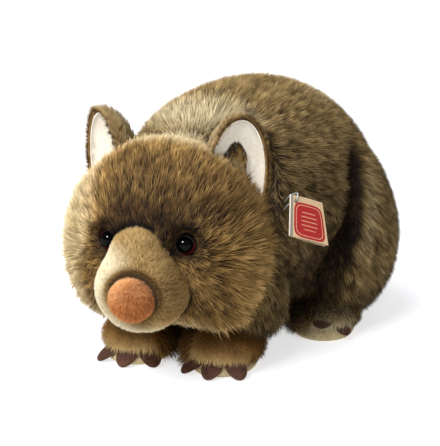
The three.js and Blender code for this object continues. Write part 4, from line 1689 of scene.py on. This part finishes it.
@dataclass
class Foot:
    """A short-pile upper, a flat-bottomed sole and three suede claws."""

    forms: Forms
    cloths: Cloths
    name: str
    side: Side
    depth: float = 2.4
    length: float = 4.0
    fringe: float = 4.2
    inner_fringe: float = 4.0
    seam: float = 4.2
    gap: float = 0.66
    sole: tuple[float, float, float] = (19, 24, 6)
    claw_level: float = 8.5
    claw_root: float = 16
    droop: tuple[float, float, float] = (25, 25, 25)
    spread: float = 38
    claw: tuple[float, float, float] = (15.6, 13.8, 3.8)

    def build(self) -> None:
        """Makes the upper, the sole and the claws."""
        self.place = self.forms.foot_place(self.name, self.side)
        lobes = [Lobe((0, 1, 13.5), (24, 24, 14.5)), Lobe((0, 8, 18), (18, 16, 15))]
        self.form = Form(lobes, 3, self.place)
        upper = ball(self.form, 5, self.depth * MM)
        cut(upper, (0, 0, self.seam * MM), (0, 0, -1), fill=True)
        self.upper = smooth(upper)
        pad = ball(Form([Lobe((0, 0, self.sole[2] * 0.45), self.sole)], 5, self.place), 5)
        cut(pad, (0, 0, 0.0002), (0, 0, -1), fill=True)
        self.pad = smooth(pad)
        turns = [step * self.spread * self.side.value for step in (1, 0, -1)]
        self.claws = [self.make_claw(spin, droop) for spin, droop in zip(turns, self.droop)]

    def make_claw(self, degrees: float, droop: float) -> bpy.types.Object:
        """One claw: two suede leaves sewn round a little stuffing, with a flat seam at the edge.

        Args:
            degrees: which way it points, from straight ahead.
            droop: how far it points down, in degrees.

        Returns:
            The new object.
        """
        length, width, thick = (size * MM for size in self.claw)
        steps = np.linspace(-0.12, 1.0, 26)
        angles = np.linspace(0, 2 * math.pi, 24, endpoint=False)
        rings = np.empty((len(steps), len(angles), 3))
        for k, s in enumerate(steps):
            t = max(s, 0.0)
            half = width / 2 * (1 - 0.5 * t**2.4) * math.sqrt(max(1 - t**8, 0.0)) + 0.00005
            body = thick / 2 * (1 - 0.5 * t**2) * math.sqrt(max(1 - t**9, 0.0)) + 0.00005
            x, z = np.cos(angles), np.sin(angles)
            lens = np.sign(z) * np.abs(z) ** 1.7
            seam = np.clip(np.abs(x) - 0.86, 0, 1) / 0.14
            rings[k, :, 0] = x * half
            rings[k, :, 1] = -s * length
            rings[k, :, 2] = lens * body + np.sign(z) * 0.00025 * seam - 0.0012 * t**2
        claw = loft(rings)
        spin = math.radians(degrees)
        root = Vector((math.sin(spin), -math.cos(spin), 0)) * self.claw_root + Vector((0, 0, self.claw_level))
        at = self.place @ shift(root) @ turn("Z", degrees) @ turn("X", droop)
        carry(claw, at)
        points = vertices(claw)
        points[:, 2] = np.maximum(points[:, 2], 0.3 * MM)
        settle(claw, points)
        return smooth(claw)

    def front(self, points: Array) -> Array:
        """How far towards the toes points are, from 0 to 1."""
        return ease(-self.form.local(points)[:, 1] / MM, 2, 20)

    def marks(self, points: Array) -> Array:
        """The foot's marking: dark above, golden, then cream at its toes, with painted shade on its side that
        faces the other foot.
        """
        local = self.form.local(points) / MM
        low = ease(-local[:, 2], -22, -8)
        hem = ease(-local[:, 2], -16, -9)
        mark = 0.25 + 0.32 * ease(-local[:, 1], -8, 16) + 0.12 * low + 0.5 * hem * self.front(points)
        # painted shade on the side that faces the other foot
        mark -= 0.4 * self.inner(points)
        return np.clip(mark + 0.05 * waves(points, 0.015, 15), 0, 1)

    def inner(self, points: Array) -> Array:
        """How near points are to the foot's side that faces the other foot, from 0 to 1."""
        across = -self.form.local(points)[:, 0] * self.side.value / MM
        return ease(across, 2, 10) if self.name == "hind" else ease(across, 13, 19)

    def dress(self) -> None:
        """Dresses the pieces and covers the upper with pile."""
        word = self.side.word
        foot = f"{self.name}foot_{word}"
        points = vertices(self.upper)
        write_pile(self.upper, np.full(len(points), 0.2), np.full(len(points), 0.5), self.marks(points))
        cloth = self.cloths.foot if self.name == "fore" else self.cloths.fur
        dress(self.upper, f"{self.name}foot_skin_{word}", cloth, "foot_pile", foot)
        node = f"{self.name}sole_{word}"
        dress(self.pad, f"{self.name}sole_pad_{word}", self.cloths.sole, "sole_plush", node)
        for i, claw in enumerate(self.claws, 1):
            node = f"{self.name}claw_{word}_{i}"
            dress(claw, f"{self.name}claw_leaf_{word}_{i}", self.cloths.suede, "claw_suede", node)
        self.cover(foot, cloth)

    def cover(self, foot: str, cloth: bpy.types.Material) -> None:
        """Covers the upper with short pile that hangs over the sole in front."""
        fore = self.name == "fore"
        roots = scatter(self.upper, lambda p, n: np.full(len(p), self.gap * MM), SEED + 80)
        leg = self.forms.forelegs[self.side] if fore else self.forms.haunches[self.side]
        above = self.form.local(roots.place)[:, 2] > 0.0045
        roots = roots.keep(above & (leg.distance(roots.place) > -0.008))
        front, inner = self.front(roots.place), self.inner(roots.place)
        across, _, height = self.form.local(roots.place).T
        ahead = np.stack([across * 22, np.full(len(roots), -0.75), -0.5 - 0.45 * front], 1)
        roots.lie = tangent(ahead @ self.form.axes.T, roots.normal)
        low = ease(-height, -0.017, -0.009)
        hang = self.fringe * low * (0.5 + 0.5 * ease(front, 0.0, 0.7)) + self.inner_fringe * low * inner
        roots.length = (self.length + hang) * MM * (1 + 0.1 * waves(roots.place, 0.01, 16))
        band = ease(height, 0.005, 0.01) * (1 - ease(height, 0.017, 0.023))
        roots.lift = math.asin(self.depth / self.length) * (1 - 0.4 * low) + math.radians(12) * band
        if fore:
            roots.length += 3.5 * MM * inner
            roots.lift += 0.35 * inner
        roots.width = np.full(len(roots), 0.42 * MM)
        roots.mark = self.marks(roots.place)
        roots.tone = np.clip(0.5 + 0.15 * waves(roots.place, 0.006, 17), 0, 1)
        pile = Pile(segments=1, clump=0.0016, gather=0.12, swing=6, stray=7, dull=0.0)
        pile.coat(f"coat_{foot}", roots, self.form, cloth, "foot_pile", SEED + 81)


HIND_FOOT = {
    "sole": (19.5, 23.5, 8.5),
    "claw_level": 13,
    "claw_root": 13,
    "droop": (30, 4, 4),
    "inner_fringe": 8.0,
}


# Tag


@dataclass
class SwingTag:
    """A folded card with a plain printed patch, on a moulded nylon loop."""

    forms: Forms
    cloths: Cloths
    width: float = 24
    height: float = 25
    leaf: float = 0.45
    opening: float = 5
    hole: tuple[float, float] = (-8.5, 9)
    hole_radius: float = 1.2
    loop_radius: float = 0.45

    def card_material(self) -> bpy.types.Material:
        """Cream card with a red rounded patch, pale bars and a grey strip of painted shade at its fold,
        placed by the card's own map.
        """
        s = Shader("printed_card")
        place = s.add("UVMap", {"uv_map": "face"}).outputs[0]
        x, y, _ = s.add("SeparateXYZ", None, Vector=place).outputs
        dx = s.math("ABSOLUTE", s.math("SUBTRACT", x, 0.52))
        dy = s.math("ABSOLUTE", s.math("SUBTRACT", y, 0.44))
        reach = s.math("POWER", s.math("ADD", s.math("POWER", dx, 5.0), s.math("POWER", dy, 5.0)), 0.2)
        patch = s.math("LESS_THAN", reach, 0.42)
        inner = s.math("LESS_THAN", s.math("ABSOLUTE", s.math("SUBTRACT", reach, 0.36)), 0.009)
        bars = s.math("GREATER_THAN", s.math("SINE", s.math("MULTIPLY", y, 62.0)), 0.8)
        bars = s.math("MULTIPLY", bars, s.math("LESS_THAN", reach, 0.22))
        light = s.math("MAXIMUM", inner, bars)
        grain = s.noise(1400, 3.0)
        paper = s.ramp(grain, ((0.3, (176, 148, 112)), (0.7, (196, 170, 134))))
        red = s.ramp(grain, ((0.3, (138, 10, 11)), (0.7, (158, 16, 16))))
        print_colour = s.mix(s.math("MULTIPLY", light, 0.6), red, paint((214, 172, 134)))
        shade = s.mix(patch, paper, print_colour)
        # a grey strip of painted shade along the folded edge
        shade = s.mix(s.math("LESS_THAN", x, 0.07), shade, paint((122, 116, 102)))
        s.set(Base_Color=shade, Roughness=0.45, Specular_IOR_Level=0.5)
        s.bump(grain, 0.15, 0.0001)
        return s.material

    def build(self) -> None:
        """Makes the folded card and the loop."""
        place = self.forms.tag_place()
        w, h, leaf = self.width, self.height, self.leaf
        far, gone = w * math.cos(math.radians(self.opening)), w * math.sin(math.radians(self.opening))
        n = 14
        front_out = [(w * (i / n), leaf + 0.5 * math.sin(math.pi * (i / n))) for i in range(n + 1)]
        front_in = [(x, y - leaf) for x, y in front_out]
        back_in = [(far * i / n, -gone * i / n - 0.4 * math.sin(math.pi * i / n)) for i in range(n + 1)]
        back_out = [(x, y - leaf) for x, y in back_in]
        bend = [(-0.35, 0.25 * leaf), (-0.35, -0.5 * leaf)]
        section = front_out[::-1] + bend + back_out + back_in[::-1][:-1] + front_in[1:]
        levels = np.linspace(-h / 2, h / 2, 24)
        rings = np.array([[(x - w / 2, -y, z) for x, y in section] for z in levels]) * MM
        card = loft(rings)
        local = vertices(card)
        spread = local.copy()
        taper = 1.05 - 0.2 * local[:, 2] / (h * MM)
        spread[:, 0] = (local[:, 0] + w / 2 * MM) * taper - w / 2 * MM
        settle(card, spread)
        layer = card.data.uv_layers.new(name="face")
        loops = np.empty(len(card.data.loops), np.int32)
        card.data.loops.foreach_get("vertex_index", loops)
        uv = np.stack([local[:, 0] / (w * MM) + 0.5, local[:, 2] / (h * MM) + 0.5], 1)
        uv[local[:, 1] > 0.02 * MM] += 5
        layer.data.foreach_set("uv", uv[loops].astype(np.float32).ravel())
        self.punch(card)
        self.card = carry(card, place)
        choose(self.card)
        bpy.ops.object.shade_smooth_by_angle(angle=math.radians(35))
        self.loop = smooth(carry(self.make_loop(), place))

    def punch(self, card: bpy.types.Object) -> None:
        """Cuts the loop's hole through both leaves."""
        clear()
        x, z = self.hole
        bpy.ops.mesh.primitive_cylinder_add(
            vertices=28,
            radius=self.hole_radius * MM,
            depth=0.014,
            location=(x * MM, 0, z * MM),
            rotation=(math.pi / 2, 0, 0),
        )
        drill = bpy.context.object
        apply(card, "BOOLEAN", operation="DIFFERENCE", object=drill, solver="EXACT")
        bpy.data.objects.remove(drill)

    def make_loop(self) -> bpy.types.Object:
        """The nylon loop: out of the pile, over the card's top edge and back through its hole."""
        x, z = self.hole
        top = self.height / 2
        route = [
            (x + 2, 14, z - 1),
            (x, 6, z),
            (x, 0, z),
            (x, -2, z + 1.5),
            (x, -1.6, top + 1),
            (x, 5, top + 1.4),
            (x + 2, 14, top),
        ]
        line = curve(np.array(route), 14)
        ahead = unit(np.gradient(line, axis=0))
        side = tangent(np.tile([1.0, 0.0, 0.0], (len(line), 1)), ahead)
        up = np.cross(ahead, side)
        angles = np.linspace(0, 2 * math.pi, 12, endpoint=False)
        ring = np.cos(angles)[None, :, None] * side[:, None] + np.sin(angles)[None, :, None] * up[:, None]
        return loft((line[:, None] + ring * self.loop_radius) * MM)

    def dress(self) -> None:
        """Dresses the card and the loop."""
        dress(self.card, "tag_folded_card", self.card_material(), "tag_card", "tag_card")
        dress(self.loop, "tag_nylon_loop", self.cloths.nylon, "loop_nylon", "tag_loop")


# The studio


@dataclass
class Studio:
    """A pale floor, soft light and the camera at the photograph's angle."""

    azimuth: float = 31.0
    elevation: float = 14.5
    distance: float = 1.0
    target: tuple[float, float, float] = (0.003613, -0.021259, 0.080)
    lens: float = 134.55

    @staticmethod
    def back(azimuth: float, elevation: float) -> Vector:
        """The direction from the object to a place round it."""
        a, e = math.radians(azimuth), math.radians(elevation)
        return Vector((math.sin(a) * math.cos(e), -math.cos(a) * math.cos(e), math.sin(e)))

    def camera(self) -> None:
        """Makes the camera."""
        data = bpy.data.cameras.new("camera")
        data.lens, data.sensor_width = self.lens, 36.0
        data.clip_start, data.clip_end = 0.01, 50
        camera = bpy.data.objects.new("camera", data)
        bpy.context.collection.objects.link(camera)
        back = self.back(self.azimuth, self.elevation)
        camera.location = Vector(self.target) + back * self.distance
        camera.rotation_mode = "QUATERNION"
        camera.rotation_quaternion = (-back).to_track_quat("-Z", "Y")
        bpy.context.scene.camera = camera

    def lamp(
        self, name: str, kind: str, azimuth: float, elevation: float, strength: float, size: float
    ) -> bpy.types.Object:
        """One soft light that looks at the toy.

        Args:
            name: its name.
            kind: "SUN", with its size in degrees, or "AREA", with its size in metres.
            azimuth: where it stands, as the camera's.
            elevation: how high it stands, in degrees.
            strength: in watts a square metre, or in watts.
            size: how large it looks.

        Returns:
            The lamp.
        """
        data = bpy.data.lights.new(name, kind)
        data.energy = strength
        if kind == "SUN":
            data.angle = math.radians(size)
        else:
            data.shape, data.size = "DISK", size
        light = bpy.data.objects.new(name, data)
        bpy.context.collection.objects.link(light)
        back = self.back(azimuth, elevation)
        light.location = Vector((0, 0, 0.08)) + back * 1.6
        light.rotation_mode = "QUATERNION"
        light.rotation_quaternion = (-back).to_track_quat("-Z", "Y")
        return light

    def build(self) -> None:
        """Makes the floor, the lights and the world."""
        clear()
        bpy.ops.mesh.primitive_plane_add(size=14, location=(0, 0, 0))
        floor = bpy.context.object
        floor.name = "floor"
        s = Shader("studio_floor")
        s.set(
            Base_Color=s.ramp(s.noise(3, 2.0), ((0.0, (170, 172, 176)), (1.0, (174, 176, 180)))),
            Roughness=0.9,
            Emission_Color=(1, 1, 1, 1),
            Emission_Strength=0.68,
        )
        floor.data.materials.append(s.material)
        for sun in (("key", "SUN", -16, 52, 5.0, 46), ("front", "SUN", 14, 20, 0.4, 50)):
            self.lamp(*sun).visible_glossy = False
        glint = self.lamp("glint", "AREA", 4, 42, 90, 0.42)
        glint.visible_diffuse = False
        world = bpy.data.worlds.new("studio")
        world.use_nodes = True
        background = world.node_tree.nodes["Background"]
        background.inputs["Color"].default_value = (1, 1, 1, 1)
        background.inputs["Strength"].default_value = 0.4
        scene = bpy.context.scene
        scene.world = world
        scene.view_settings.view_transform = "Standard"
        scene.view_settings.look = "None"


def main() -> None:
    """Builds the toy piece by piece, then the studio."""
    logging.basicConfig(level=logging.INFO, format="%(message)s")
    studio = Studio()
    studio.camera()
    forms = Forms()
    cloths = Cloths()
    parts: list = [
        Hide(forms, cloths),
        Muzzle(forms, cloths),
        Eye(forms, cloths, Side.LEFT, felt=5.6, felt_shift=(0.6, -1.2)),
        Eye(forms, cloths, Side.RIGHT, felt=6.2, felt_shift=(1.5, -1.6)),
        Ear(forms, cloths, Side.LEFT),
        Ear(forms, cloths, Side.RIGHT, tuft_top=6.0),
    ]
    parts += [Foot(forms, cloths, "fore", side) for side in Side]
    parts += [Foot(forms, cloths, "hind", side, **HIND_FOOT) for side in Side]
    parts.append(SwingTag(forms, cloths))
    for part in parts:
        part.build()
        part.dress()
        LOG.info("%s done", type(part).__name__)
    studio.build()


if __name__ == "__main__":
    main()
